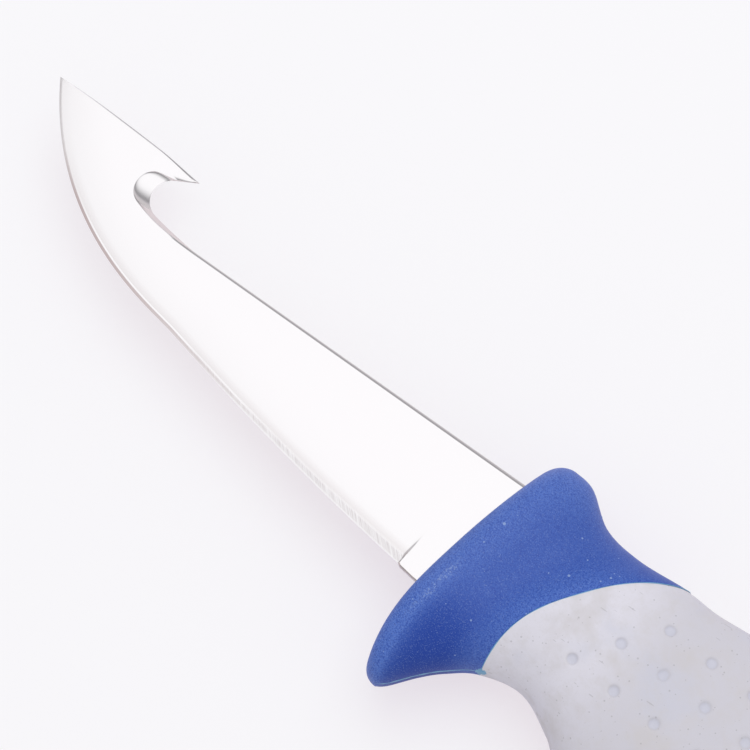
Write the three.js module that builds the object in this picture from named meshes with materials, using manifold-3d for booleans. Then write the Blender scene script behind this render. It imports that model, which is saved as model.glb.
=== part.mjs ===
// A fixed-blade fishing knife: a ground blade with a line hook behind the point,
// and a handle moulded round its tang as a hard core, a soft grip, a guard and a butt cap.
// Millimetres. The knife lies on its side: +X runs from the butt to the point, +Y from the
// spine to the cutting edge, +Z up. Sizes are set out from the spine line (y = 0), the middle
// plane of the blade (z = 0) and the place where the spine leaves the guard (x = 0).

import * as THREE from "three";
import { mergeVertices } from "three/addons/utils/BufferGeometryUtils.js";
import Module from "manifold-3d";

const wasm = await Module();
wasm.setup();
const { degToRad, lerp, smoothstep } = THREE.MathUtils;

// Fits
const MOULD_GAP = 0.2;
const OVERCUT = 2;

// Blade outline
const BLADE_LENGTH = 101.7;
const BLADE_THICKNESS = 1.7;
const BROKEN_EDGE = 0.3;
const HEEL_SETBACK = 8.9;
const HEEL_DROP = 21.85;
const EDGE_SWEEP = 0.7;
const BELLY_RUN = 41.2;
const BELLY_DROP = 12.8;
const BELLY_FULLNESS = 5.8;
const POINT_ANGLE = degToRad(56.8);
const POINT_FULLNESS = 26;

// Grinds
const GRIND_HEIGHT = 8.8;
const GRIND_ROUNDING = 3;
const BEVEL_AT_HEEL = 1.45;
const BEVEL_AT_POINT = 0.45;
const BEVEL_ANGLE = degToRad(18);
const EDGE_LAND = 0.04;
const PLUNGE_RUN = 0.9;

// Line hook: a ledge above the spine line, a round throat, and a spur of steel over it.
// Its wall leans: the rim on the upper face is a tighter throat, set further towards the point.
const HOOK_LEDGE = 1.45;
const HOOK_RADIUS = 3.6;
const HOOK_SPUR = 2.65;
const HOOK_DEPTH = 5.4;
const HOOK_BACK = 29.5;
const HOOK_BACK_FALL = 1.1;
const HOOK_WALL_ANGLE = degToRad(10);
const HOOK_RUN_OUT = 7;
const HOOK_LEAN = 3.25;
const HOOK_LEAN_DROP = 0.55;
const LEANT_RADIUS = 3.25;
const LEANT_WALL_ANGLE = degToRad(18);
const LEANT_RUN_OUT = 4;

// Tang
const SHOULDER_DEPTH = 9;
const TANG_COVER = 2.4;
const TANG_END_HEIGHT = 11.6;
const TANG_HOLE = 5;
const TANG_HOLES = 3;
const TANG_HOLE_MARGIN = 12;

// Guard
const GUARD_RISE = 6.35;
const GUARD_DROP = 39.65;
const GUARD_SETBACK = 5.4;
const GUARD_LEAN = 5.9;
const GUARD_TOP_LENGTH = 25.7;
const GUARD_BELLY_LENGTH = 12.1;
const GUARD_THICKNESS = 18.8;
const GUARD_SCOOP = 0.9;
const GUARD_EDGE_RADIUS = 3.5;
const FACE_BOW = 2.15;
const FACE_SKEW = 0.6;
const JOINT_BOW = 4.9;
const JOINT_SKEW = 0.25;
const BOW_FLATNESS = 2.7;

// Grip
const GRIP_TOP_LENGTH = 65.9;
const GRIP_BELLY_LENGTH = 83.1;
const NECK_RISE = 0.85;
const NECK_DROP = 28.6;
const BACK_RISE = 1.2;
const GROOVE_DROP = 27.2;
const PALM_DROP = 37;
const WAIST_DROP = 29.8;
const PALM_THICKNESS = 24;
const WAIST_THICKNESS = 21.6;
const SKIN = 3.4;

// Dimples: slanted rows of shallow round dents on both sides of the grip
const DIMPLE_WIDTH = 2.1;
const DIMPLE_DEPTH = 0.35;
const DIMPLE_ROWS = 3;
const DIMPLE_PITCH = 7.9;
const DIMPLE_ROW_PITCH = 6.2;
const DIMPLE_ROW_SHIFT = 4.85;
const DIMPLE_ROW_DROP = 7.6;
const DIMPLE_FALL = 0.054;
const DIMPLE_LEAD = 10.6;
const DIMPLE_TRAIL = 8;

// Butt cap
const BUTT_LENGTH = 20;
const BUTT_FALL = 8.4;
const BUTT_DROP = 34;
const BUTT_THICKNESS = 20.8;
const BUTT_EDGE_RADIUS = 7;
const LANYARD_HOLE = 7;
const LANYARD_FLARE = 1.2;
const LANYARD_SETBACK = 10;

// Core
const KEYS = 3;
const KEY_DEPTH = 1;
const KEY_SHARE = 0.18;

// The roundness of a handle section: 2 is an ellipse, and more is squarer
const SQUARENESS = 2.5;

// Places along the handle, counted in stations from the guard's face
const FACE = 0;
const CORE_NOSE = 2.2;
const GRIP_JOINT = 4;
const TANG_TAIL = 9.5;
const BUTT_JOINT = 10;
const CORE_TAIL = 11.7;
const END = 12;
const END_SLACK = 0.05;

// Facets
const HALF_RING = 18;
const RING = 2 * HALF_RING;
const RINGS_A_STATION = 3;
const CORNER_RINGS = 4;
const EDGE_STEPS = 8;
const BELLY_STEPS = 16;
const GRIND_STEPS = 5;
const HOOK_STEPS = 10;
const CURVE_SEGMENTS = 10;
const BALL_SEGMENTS = 8;
const HOLE_SEGMENTS = 24;

function vec(x, y) {
  return new THREE.Vector2(x, y);
}

function heading(angle, length) {
  return vec(Math.cos(angle), Math.sin(angle)).multiplyScalar(length);
}

function toSolid(geometry) {
  const bare = geometry.clone();
  bare.deleteAttribute("normal");
  bare.deleteAttribute("uv");
  const merged = mergeVertices(bare, 1e-5);
  return new wasm.Manifold(new wasm.Mesh({
    numProp: 3,
    vertProperties: new Float32Array(merged.attributes.position.array),
    triVerts: new Uint32Array(merged.index.array),
  }));
}

function toGeometry(solid) {
  const mesh = solid.getMesh();
  const geometry = new THREE.BufferGeometry();
  geometry.setAttribute("position", new THREE.BufferAttribute(mesh.vertProperties, 3));
  geometry.setIndex(new THREE.BufferAttribute(mesh.triVerts, 1));
  geometry.computeVertexNormals();
  return geometry;
}

// A closed body through a row of rings that all have the same number of points.
// The cap lists triangles of ring points, and closes both ends.
function loft(rings, cap) {
  const count = rings[0].length;
  const positions = rings.flat().flatMap((spot) => [spot.x, spot.y, spot.z]);
  const index = [];
  for (let row = 0; row < rings.length - 1; row += 1) {
    for (let step = 0; step < count; step += 1) {
      const a = row * count + step;
      const b = row * count + ((step + 1) % count);
      index.push(a, b, a + count, b, b + count, a + count);
    }
  }
  const last = (rings.length - 1) * count;
  for (const [a, b, c] of cap) {
    index.push(a, c, b, last + a, last + b, last + c);
  }
  const geometry = new THREE.BufferGeometry();
  geometry.setAttribute("position", new THREE.Float32BufferAttribute(positions, 3));
  geometry.setIndex(index);
  return toSolid(geometry);
}

function extrude(shape, thickness, options = {}) {
  const geometry = new THREE.ExtrudeGeometry(shape, {
    depth: thickness,
    bevelEnabled: false,
    curveSegments: CURVE_SEGMENTS,
    ...options,
  });
  return geometry.translate(0, 0, -thickness / 2);
}

// The handle's outline: each station pairs a point on the back with one on the belly,
// and gives the handle's half thickness and how far its section bows forward there
const thumbLobe = vec(-GUARD_SETBACK, -GUARD_RISE);
const fingerLobe = vec(GUARD_LEAN - GUARD_SETBACK, GUARD_DROP);
const neckTop = vec(thumbLobe.x - GUARD_TOP_LENGTH, -NECK_RISE);
const neckBelly = vec(fingerLobe.x - GUARD_BELLY_LENGTH, NECK_DROP);
const buttTop = vec(neckTop.x - GRIP_TOP_LENGTH, BUTT_FALL / 2);
const buttBelly = vec(neckBelly.x - GRIP_BELLY_LENGTH, WAIST_DROP);

// Shares of the way from the lobes to the neck, along and across, on the back and on the belly
function guardStation(backAlong, backAcross, bellyAlong, bellyAcross) {
  const swell = bellyAlong / 3;
  return {
    back: vec(lerp(thumbLobe.x, neckTop.x, backAlong), lerp(thumbLobe.y, neckTop.y, backAcross)),
    belly: vec(lerp(fingerLobe.x, neckBelly.x, bellyAlong), lerp(fingerLobe.y, neckBelly.y, bellyAcross)),
    half: lerp(GUARD_THICKNESS, PALM_THICKNESS, swell) / 2 - GUARD_SCOOP * Math.sin(Math.PI * bellyAlong),
    bow: lerp(FACE_BOW, JOINT_BOW, bellyAlong),
  };
}

// Shares of the grip's two lengths, with how far the back and the belly lie below the spine line
function gripStation(backAlong, backDrop, bellyAlong, bellyDrop, thickness) {
  return {
    back: vec(lerp(neckTop.x, buttTop.x, backAlong), backDrop),
    belly: vec(lerp(neckBelly.x, buttBelly.x, bellyAlong), bellyDrop),
    half: thickness / 2,
    bow: JOINT_BOW * (1 - backAlong) ** 2,
  };
}

function buttStation(along) {
  return {
    back: vec(buttTop.x - BUTT_LENGTH * along, lerp(buttTop.y, BUTT_FALL, along)),
    belly: vec(buttBelly.x - BUTT_LENGTH * along, lerp(buttBelly.y, BUTT_DROP, along)),
    half: lerp(WAIST_THICKNESS, BUTT_THICKNESS, along) / 2,
    bow: 0,
  };
}

const palmRise = lerp(GROOVE_DROP, PALM_DROP, 0.33);
const palmFall = lerp(PALM_DROP, WAIST_DROP, 0.45);
const grooveThickness = lerp(GUARD_THICKNESS, PALM_THICKNESS, 0.5);
const riseThickness = lerp(GUARD_THICKNESS, PALM_THICKNESS, 0.8);
const fallThickness = lerp(PALM_THICKNESS, WAIST_THICKNESS, 0.3);
const stations = [
  guardStation(0, 0, 0, 0),
  guardStation(0.15, 0.13, 0.13, 0.11),
  guardStation(0.37, 0.86, 0.39, 0.46),
  guardStation(0.64, 1.07, 0.64, 0.73),
  guardStation(1, 1, 1, 1),
  gripStation(0.09, -BACK_RISE / 3, 0.085, GROOVE_DROP, grooveThickness),
  gripStation(0.24, -BACK_RISE, 0.17, palmRise, riseThickness),
  gripStation(0.4, -BACK_RISE, 0.29, PALM_DROP, PALM_THICKNESS),
  gripStation(0.61, -BACK_RISE / 2, 0.6, palmFall, fallThickness),
  gripStation(0.82, BUTT_FALL / 6, 0.83, WAIST_DROP, WAIST_THICKNESS),
  buttStation(0),
  buttStation(0.55),
  buttStation(1),
];
const backLine = new THREE.SplineCurve(stations.map((station) => station.back));
const bellyLine = new THREE.SplineCurve(stations.map((station) => station.belly));
const swellLine = new THREE.SplineCurve(stations.map((station) => vec(station.half, station.bow)));

// One section of the handle stands on a bowed line from the back to the belly, and is as thick
// there as a rounded box. Inset draws it in on all sides, and ahead moves it along the knife.
function section(at, inset, ahead) {
  const back = backLine.getPoint(at / END);
  const belly = bellyLine.getPoint(at / END);
  const swell = swellLine.getPoint(at / END);
  const skew = lerp(FACE_SKEW, JOINT_SKEW, smoothstep(at, FACE, GRIP_JOINT));
  const across = belly.clone().sub(back).normalize();
  const forward = vec(across.y, -across.x);
  const start = back.clone().addScaledVector(across, inset);
  const height = belly.distanceTo(back) - 2 * inset;
  return {
    half: swell.x - inset,
    place(drop) {
      const low = 2 * drop - 1;
      const bow = swell.y * (1 - Math.abs(low) ** BOW_FLATNESS) * (1 + skew * low);
      const spot = start.clone().addScaledVector(across, height * drop).addScaledVector(forward, bow);
      return spot.setX(spot.x + ahead);
    },
  };
}

function squared(value) {
  return Math.sign(value) * Math.abs(value) ** (2 / SQUARENESS);
}

function sectionRing(at, inset = 0, ahead = 0) {
  const { half, place } = section(at, inset, ahead);
  return Array.from({ length: RING }, (_, step) => {
    const turn = (2 * Math.PI * step) / RING;
    const spot = place((1 - squared(Math.cos(turn))) / 2);
    return new THREE.Vector3(spot.x, spot.y, half * squared(Math.sin(turn)));
  });
}

// A section's cap is a strip between the upper half of its ring and the mirror of that half
const sectionCap = [];
for (let step = 0; step < HALF_RING; step += 1) {
  const mirror = (RING - step) % RING;
  if (step > 0) {
    sectionCap.push([step, step + 1, mirror]);
  }
  if (step < HALF_RING - 1) {
    sectionCap.push([step + 1, RING - step - 1, mirror]);
  }
}

function stretch(from, to) {
  const count = Math.max(1, Math.ceil((to - from) * RINGS_A_STATION));
  return Array.from({ length: count + 1 }, (_, step) => lerp(from, to, step / count));
}

// The rounded corner of an end face, from the face out to the full section
function corner(at, radius, direction) {
  return Array.from({ length: CORNER_RINGS }, (_, step) => {
    const turn = (Math.PI / 2) * (step / CORNER_RINGS);
    return sectionRing(at, radius * (1 - Math.sin(turn)), direction * radius * Math.cos(turn));
  });
}

// The core's surface under the skin, with ring grooves that lock the grip to it
function coreBody(gap) {
  const slack = END_SLACK * (1 - gap / MOULD_GAP);
  const places = stretch(CORE_NOSE - slack, GRIP_JOINT).map((at) => [at, 0]);
  for (let key = 1; key <= KEYS; key += 1) {
    const at = lerp(GRIP_JOINT, BUTT_JOINT, key / (KEYS + 1));
    places.push([at - 2 * KEY_SHARE, 0], [at - KEY_SHARE, KEY_DEPTH]);
    places.push([at + KEY_SHARE, KEY_DEPTH], [at + 2 * KEY_SHARE, 0]);
  }
  places.push(...stretch(BUTT_JOINT, CORE_TAIL + slack).map((at) => [at, 0]));
  return loft(places.map(([at, depth]) => sectionRing(at, SKIN + depth + gap)), sectionCap);
}

// Blade: the edge sweeps from the heel to the belly, and the belly rises to the point
const pointRise = HOOK_LEDGE + 2 * HOOK_RADIUS + HOOK_SPUR;
const point = vec(BLADE_LENGTH, -pointRise);
const heel = vec(HEEL_SETBACK, HEEL_DROP);
const bellyStart = vec(BLADE_LENGTH - BELLY_RUN, BELLY_DROP);
const edgeControl = heel.clone().lerp(bellyStart, 0.5).add(vec(0, 2 * EDGE_SWEEP));
const bellyHeading = bellyStart.clone().sub(edgeControl).normalize();
const bellyControl = bellyStart.clone().addScaledVector(bellyHeading, BELLY_FULLNESS);
const pointControl = point.clone().add(heading(Math.PI - POINT_ANGLE, POINT_FULLNESS));

// The hook's rim on one face, from its spur round the throat to where it runs out along the spine
const hookPoint = vec(BLADE_LENGTH - HOOK_BACK, HOOK_BACK_FALL - pointRise);
const throat = vec(hookPoint.x + HOOK_DEPTH - HOOK_RADIUS, -HOOK_LEDGE - HOOK_RADIUS);

function hookRim(centre, radius, wallAngle, runOut) {
  const toPoint = hookPoint.clone().sub(centre);
  const turn = toPoint.angle() + Math.acos(radius / toPoint.length()) - 2 * Math.PI;
  const footTurn = Math.PI / 2 - wallAngle;
  const foot = centre.clone().add(heading(footTurn, radius));
  const meet = vec(foot.x + foot.y / Math.tan(wallAngle), 0);
  const start = vec(meet.x - runOut, 0);
  const arc = new THREE.EllipseCurve(centre.x, centre.y, radius, radius, turn, footTurn);
  const runs = new THREE.QuadraticBezierCurve(foot, meet, start);
  return [hookPoint, ...arc.getPoints(HOOK_STEPS), ...runs.getPoints(HOOK_STEPS).slice(1)];
}

const lowerRim = hookRim(throat, HOOK_RADIUS, HOOK_WALL_ANGLE, HOOK_RUN_OUT);
const leant = throat.clone().add(vec(HOOK_LEAN, HOOK_LEAN_DROP));
const upperRim = hookRim(leant, LEANT_RADIUS, LEANT_WALL_ANGLE, LEANT_RUN_OUT);
const hookStart = lowerRim[lowerRim.length - 1].x;

// The tang: its shoulder carries on the line of the heel, and it lies along the core's middle
const heelSlope = (edgeControl.y - heel.y) / (edgeControl.x - heel.x);
const shoulder = vec(-SHOULDER_DEPTH, heel.y - heelSlope * (HEEL_SETBACK + SHOULDER_DEPTH));
const tangTop = SKIN + TANG_COVER - NECK_RISE;
const tangDrop = GROOVE_DROP - SKIN - TANG_COVER;
const tangRoot = vec(shoulder.x, (tangTop + tangDrop) / 2);
const tangEnd = section(TANG_TAIL, 0, 0).place(0.5);

// The outline behind the shoulder, from the spine round the tang to the lower shoulder.
// Grow widens it, and narrows its holes, for the pocket that the handle leaves open.
function drawTang(shape, grow) {
  const radius = TANG_END_HEIGHT / 2 + grow;
  const middle = tangEnd.clone().add(vec(TANG_END_HEIGHT / 2, 0));
  shape.lineTo(shoulder.x - grow, -grow);
  shape.lineTo(shoulder.x - grow, tangTop - grow);
  shape.lineTo(middle.x, middle.y - radius);
  shape.absarc(middle.x, middle.y, radius, -Math.PI / 2, Math.PI / 2, true);
  shape.lineTo(shoulder.x - grow, tangDrop + grow);
  shape.lineTo(shoulder.x - grow, shoulder.y + grow);
  const margin = TANG_HOLE_MARGIN / tangRoot.distanceTo(tangEnd);
  for (let hole = 0; hole < TANG_HOLES; hole += 1) {
    const spot = tangRoot.clone().lerp(tangEnd, lerp(margin, 1 - margin, hole / (TANG_HOLES - 1)));
    const path = new THREE.Path();
    path.absarc(spot.x, spot.y, TANG_HOLE / 2 - grow, 0, 2 * Math.PI, false);
    shape.holes.push(path);
  }
}

function blankShape() {
  const shape = new THREE.Shape();
  shape.moveTo(hookPoint.x, hookPoint.y);
  shape.lineTo(hookStart, hookPoint.y);
  shape.lineTo(hookStart, 0);
  drawTang(shape, 0);
  shape.lineTo(heel.x, heel.y);
  shape.quadraticCurveTo(edgeControl.x, edgeControl.y, bellyStart.x, bellyStart.y);
  shape.bezierCurveTo(bellyControl.x, bellyControl.y, pointControl.x, pointControl.y, point.x, point.y);
  shape.quadraticCurveTo((point.x + hookPoint.x) / 2, point.y, hookPoint.x, hookPoint.y);
  return shape;
}

// What the guard and the core leave open for the tang and the blade's root
function bladePocket() {
  const shape = new THREE.Shape();
  shape.moveTo(heel.x, -MOULD_GAP);
  drawTang(shape, MOULD_GAP);
  shape.lineTo(heel.x, heel.y + MOULD_GAP);
  return toSolid(extrude(shape, BLADE_THICKNESS + 2 * MOULD_GAP));
}

// Heights of one ground side over the blade's middle plane, from outside the edge to the flat:
// the edge bevel, then a side that rounds over to the flat. Each entry is a distance and a height.
function grindProfile(bevel) {
  const flat = BLADE_THICKNESS / 2;
  const bevelHeight = EDGE_LAND / 2 + bevel * Math.tan(BEVEL_ANGLE);
  const profile = [[-OVERCUT, 0], [0, EDGE_LAND / 2], [bevel, bevelHeight]];
  for (let step = 1; step <= GRIND_STEPS; step += 1) {
    const up = step / GRIND_STEPS;
    const rise = 1 - (1 - up) ** GRIND_ROUNDING;
    profile.push([lerp(bevel, GRIND_HEIGHT, up), lerp(bevelHeight, flat, rise)]);
  }
  return profile;
}

// The grind of one side, carried along the edge from the plunge at the heel to past the point
function grindCutter() {
  const flat = BLADE_THICKNESS / 2;
  const ceiling = flat + OVERCUT;
  const edge = new THREE.QuadraticBezierCurve(heel, edgeControl, bellyStart);
  const belly = new THREE.CubicBezierCurve(bellyStart, bellyControl, pointControl, point);
  const stops = [];
  for (const [curve, first, count] of [[edge, 0, EDGE_STEPS], [belly, 1, BELLY_STEPS]]) {
    for (let step = first; step <= count; step += 1) {
      stops.push({ spot: curve.getPointAt(step / count), along: curve.getTangentAt(step / count) });
    }
  }

  function ring(stop, ahead, profile) {
    const inward = vec(stop.along.y, -stop.along.x);
    const outline = [...profile, [GRIND_HEIGHT, ceiling], [-OVERCUT, ceiling]];
    return outline.map(([inset, height]) => {
      const spot = stop.spot.clone().addScaledVector(stop.along, ahead).addScaledVector(inward, inset);
      return new THREE.Vector3(spot.x, spot.y, height);
    });
  }

  const heelProfile = grindProfile(BEVEL_AT_HEEL);
  const clear = heelProfile.map(([inset]) => [inset, flat + EDGE_LAND]);
  const rings = [ring(stops[0], -PLUNGE_RUN, clear)];
  stops.forEach((stop, number) => {
    const bevel = lerp(BEVEL_AT_HEEL, BEVEL_AT_POINT, number / (stops.length - 1));
    rings.push(ring(stop, 0, grindProfile(bevel)));
  });
  rings.push(ring(stops[stops.length - 1], OVERCUT, grindProfile(BEVEL_AT_POINT)));
  const outline = [...heelProfile, [GRIND_HEIGHT, ceiling], [-OVERCUT, ceiling]];
  const cap = THREE.ShapeUtils.triangulateShape(outline.map(([inset, height]) => vec(inset, height)), []);
  return loft(rings.reverse(), cap);
}

// The hook's throat, cut aslant so that its rim comes to an edge on the lower face: a loft from
// the lower rim to the upper one, carried past both faces, and open towards the back
function hookCutter() {
  const outerX = hookStart - OVERCUT;

  function ring(height) {
    const share = height / BLADE_THICKNESS + 0.5;
    const rim = lowerRim.map((spot, step) => spot.clone().lerp(upperRim[step], share));
    const wall = rim[0].clone().sub(rim[1]);
    const outerY = hookPoint.y + (wall.y / wall.x) * (outerX - hookPoint.x);
    const outline = [vec(outerX, hookPoint.y), vec(outerX, outerY), ...rim, vec(outerX, 0)];
    return outline.map((spot) => new THREE.Vector3(spot.x, spot.y, height));
  }

  const reach = BLADE_THICKNESS / 2 + BROKEN_EDGE;
  const rings = [ring(-reach), ring(reach)];
  const cap = Array.from({ length: rings[0].length - 2 }, (_, step) => [0, step + 1, step + 2]);
  return loft(rings, cap);
}

function makeBlade() {
  const blank = toSolid(extrude(blankShape(), BLADE_THICKNESS - 2 * BROKEN_EDGE, {
    bevelEnabled: true,
    bevelThickness: BROKEN_EDGE,
    bevelSize: BROKEN_EDGE,
    bevelOffset: -BROKEN_EDGE,
    bevelSegments: 1,
  }));
  const grind = grindCutter();
  return blank.subtract(grind).subtract(grind.mirror([0, 0, 1])).subtract(hookCutter());
}

// The lanyard hole, flared where it meets the butt's two sides
function lanyardCutter() {
  const spot = section(END, 0, LANYARD_SETBACK).place(0.5);
  const radius = LANYARD_HOLE / 2;
  const mouth = BUTT_THICKNESS / 2 - LANYARD_FLARE;
  const reach = LANYARD_FLARE + OVERCUT;
  const profile = [
    vec(0, -mouth - reach),
    vec(radius + reach, -mouth - reach),
    vec(radius, -mouth),
    vec(radius, mouth),
    vec(radius + reach, mouth + reach),
    vec(0, mouth + reach),
  ];
  const lathe = new THREE.LatheGeometry(profile, HOLE_SEGMENTS).rotateX(Math.PI / 2);
  return toSolid(lathe.translate(spot.x, spot.y, 0));
}

function makeCore() {
  return coreBody(MOULD_GAP).subtract(bladePocket()).subtract(lanyardCutter());
}

function makeGuard() {
  const rings = corner(FACE, GUARD_EDGE_RADIUS, 1);
  rings.push(...stretch(FACE, GRIP_JOINT).map((at) => sectionRing(at)));
  return loft(rings, sectionCap).subtract(coreBody(0)).subtract(bladePocket());
}

// The skin's height over the middle plane at a place in plan: the station is found by halving,
// and the place across that station's section by a few steps towards the wanted y
function skinHeight(x, y) {
  let front = FACE;
  let rear = END;
  let drop = 0;
  for (let round = 0; round < 30; round += 1) {
    const { place } = section((front + rear) / 2, 0, 0);
    const rise = place(1).y - place(0).y;
    drop = (y - place(0).y) / rise;
    for (let turn = 0; turn < 4; turn += 1) {
      drop += (y - place(drop).y) / rise;
    }
    if (place(drop).x > x) {
      front = (front + rear) / 2;
    } else {
      rear = (front + rear) / 2;
    }
  }
  const { half } = section((front + rear) / 2, 0, 0);
  return half * Math.max(0, 1 - Math.abs(2 * drop - 1) ** SQUARENESS) ** (1 / SQUARENESS);
}

// A ball that cuts one dimple, standing square on the skin
function dimpleCutter(x, y) {
  const reach = DIMPLE_WIDTH / 2;
  const radius = (reach ** 2 + DIMPLE_DEPTH ** 2) / (2 * DIMPLE_DEPTH);
  const slopeX = (skinHeight(x + reach, y) - skinHeight(x - reach, y)) / DIMPLE_WIDTH;
  const slopeY = (skinHeight(x, y + reach) - skinHeight(x, y - reach)) / DIMPLE_WIDTH;
  const normal = new THREE.Vector3(-slopeX, -slopeY, 1).normalize();
  const centre = new THREE.Vector3(x, y, skinHeight(x, y)).addScaledVector(normal, radius - DIMPLE_DEPTH);
  const ball = new THREE.SphereGeometry(radius, BALL_SEGMENTS, BALL_SEGMENTS).rotateX(Math.PI / 2);
  ball.applyQuaternion(new THREE.Quaternion().setFromUnitVectors(new THREE.Vector3(0, 0, 1), normal));
  return toSolid(ball.translate(centre.x, centre.y, centre.z));
}

function makeGrip() {
  const rings = stretch(GRIP_JOINT, BUTT_JOINT).map((at) => sectionRing(at));
  rings[0] = sectionRing(GRIP_JOINT, 0, -MOULD_GAP);
  let grip = loft(rings, sectionCap).subtract(coreBody(0));
  for (let row = 0; row < DIMPLE_ROWS; row += 1) {
    const firstY = DIMPLE_ROW_DROP + (DIMPLE_ROWS - 1 - row) * DIMPLE_ROW_PITCH;
    const firstX = neckBelly.x - DIMPLE_LEAD - row * DIMPLE_ROW_SHIFT;
    for (let x = firstX; x > buttTop.x + DIMPLE_TRAIL; x -= DIMPLE_PITCH) {
      const ball = dimpleCutter(x, firstY + DIMPLE_FALL * (firstX - x));
      grip = grip.subtract(ball).subtract(ball.mirror([0, 0, 1]));
    }
  }
  return grip;
}

function makeButtCap() {
  const rings = stretch(BUTT_JOINT, END).map((at) => sectionRing(at));
  rings[0] = sectionRing(BUTT_JOINT, 0, -MOULD_GAP);
  rings.push(...corner(END, BUTT_EDGE_RADIUS, -1).reverse());
  return loft(rings, sectionCap).subtract(coreBody(0)).subtract(lanyardCutter());
}

const steel = new THREE.MeshStandardMaterial({ color: 0xd8d8dc, roughness: 0.22, metalness: 1 });
const blueRubber = new THREE.MeshStandardMaterial({ color: 0x2a4a9c, roughness: 0.6, metalness: 0 });
const greyRubber = new THREE.MeshStandardMaterial({ color: 0xc9c9d0, roughness: 0.65, metalness: 0 });
const corePlastic = new THREE.MeshStandardMaterial({ color: 0x2b2d33, roughness: 0.5, metalness: 0 });

function piece(name, solid, finish) {
  const mesh = new THREE.Mesh(toGeometry(solid), finish);
  mesh.name = name;
  return mesh;
}

const knife = new THREE.Group();
knife.add(
  piece("blade", makeBlade(), steel),
  piece("handle_core", makeCore(), corePlastic),
  piece("guard", makeGuard(), blueRubber),
  piece("grip", makeGrip(), greyRubber),
  piece("butt_cap", makeButtCap(), blueRubber),
);

// The origin is the middle of the knife's box, on the plane that it lies on
const box = new THREE.Box3().setFromObject(knife);
const middle = box.getCenter(new THREE.Vector3());
knife.position.set(-middle.x, -middle.y, -box.min.z);

const part = new THREE.Group();
part.add(knife);

export default part;
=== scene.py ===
# %% [markdown]
# # A fishing knife on a white floor
# A fishing knife lies on its side: a bright blade with a line hook behind the point, a blue guard,
# a pale grey grip with dimples and a blue butt cap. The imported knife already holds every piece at
# its real size as plain solids. This lesson dresses it: each visible piece is worked out again as a
# smooth surface from a few formulas, and each finish is a small tree of nodes.

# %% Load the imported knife
import math

import bpy
import numpy as np
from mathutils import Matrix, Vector


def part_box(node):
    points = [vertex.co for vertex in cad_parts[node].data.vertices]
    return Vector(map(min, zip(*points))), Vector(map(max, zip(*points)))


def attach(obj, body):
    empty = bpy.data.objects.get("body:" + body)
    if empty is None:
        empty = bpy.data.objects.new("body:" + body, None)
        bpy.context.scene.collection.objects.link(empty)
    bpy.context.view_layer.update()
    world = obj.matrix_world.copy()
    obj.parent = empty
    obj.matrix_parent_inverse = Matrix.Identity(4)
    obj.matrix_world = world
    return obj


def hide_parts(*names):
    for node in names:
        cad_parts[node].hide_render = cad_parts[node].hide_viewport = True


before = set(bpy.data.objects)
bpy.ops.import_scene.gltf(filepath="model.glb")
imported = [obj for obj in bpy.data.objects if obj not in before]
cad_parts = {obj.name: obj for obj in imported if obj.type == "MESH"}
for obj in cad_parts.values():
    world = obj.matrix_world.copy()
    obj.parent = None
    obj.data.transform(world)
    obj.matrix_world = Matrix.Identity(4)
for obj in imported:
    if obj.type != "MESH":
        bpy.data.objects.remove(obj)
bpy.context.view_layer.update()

print("packed nodes:", sorted(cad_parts))

# %% [markdown]
# Blender works in metres, while a knife maker thinks in millimetres from the blade: x along the
# spine from the guard, y from the spine down to the edge, z out of the blade's flat. We keep the
# maker's numbers and move them into the shared frame at the very end. Three corners of the packed
# solids say where the maker's zero lies, so nothing has to be fitted by eye.

# %% The maker's zero
MM = 0.001
BLADE_LENGTH = 101.7
GUARD_DROP = 39.65
blade_low, blade_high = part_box("blade")
guard_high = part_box("guard")[1]
ZERO = np.array([
    blade_high.x / MM - BLADE_LENGTH,
    guard_high.y / MM - GUARD_DROP,
    (blade_low.z + blade_high.z) / 2 / MM,
])


def to_row(spots):
    """Maker's millimetres to metres in the shared frame: add the zero's place, then scale."""
    return (np.asarray(spots) + ZERO) * MM


print("the maker's zero lies at", ZERO.round(3), "mm")

# %% [markdown]
# The photograph looks almost straight down, from the side of the cutting edge, with a long lens.
# A camera is settled first, because every later choice is judged through it. Azimuth and elevation
# place it on a ball round the spot it aims at; this is easier to adjust than loose coordinates.

# %% Camera
AIM = np.array([29.9, -0.75, 0.0])
CAMERA_DISTANCE = 450.0
SENSOR_WIDTH = 36.0
LENS = 135.0
AZIMUTH = math.radians(216.1)
ELEVATION = math.radians(75.0)
RIGHT = np.array([math.cos(AZIMUTH), math.sin(AZIMUTH), 0.0])
AWAY = np.array([-math.sin(AZIMUTH), math.cos(AZIMUTH), 0.0])
UP = np.array([0.0, 0.0, 1.0])


def aim_from(holder, place, target):
    """Puts a camera or lamp at a place and turns its -Z axis to the target, with +Y upwards."""
    holder.location = Vector(place)
    holder.rotation_euler = (Vector(target) - Vector(place)).to_track_quat("-Z", "Y").to_euler()


camera = bpy.data.objects.new("camera", bpy.data.cameras.new("camera"))
camera.data.sensor_width = SENSOR_WIDTH
camera.data.lens = LENS
camera.data.clip_start = 0.01
eye = AIM + CAMERA_DISTANCE * (math.sin(ELEVATION) * UP - math.cos(ELEVATION) * AWAY)
aim_from(camera, to_row(eye), to_row(AIM))
bpy.context.scene.collection.objects.link(camera)
bpy.context.scene.camera = camera
bpy.context.scene.view_settings.view_transform = "Standard"
print("the camera stands", np.linalg.norm(eye - AIM), "mm from the spot it aims at")

# %% [markdown]
# Every shape below is a grid of points: rows along a piece, columns round it. One helper turns such
# a grid into quads, and another makes the finished piece from points and faces. A grid keeps the
# script short, and neighbouring points stay neighbours, which smooth shading needs.

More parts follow.
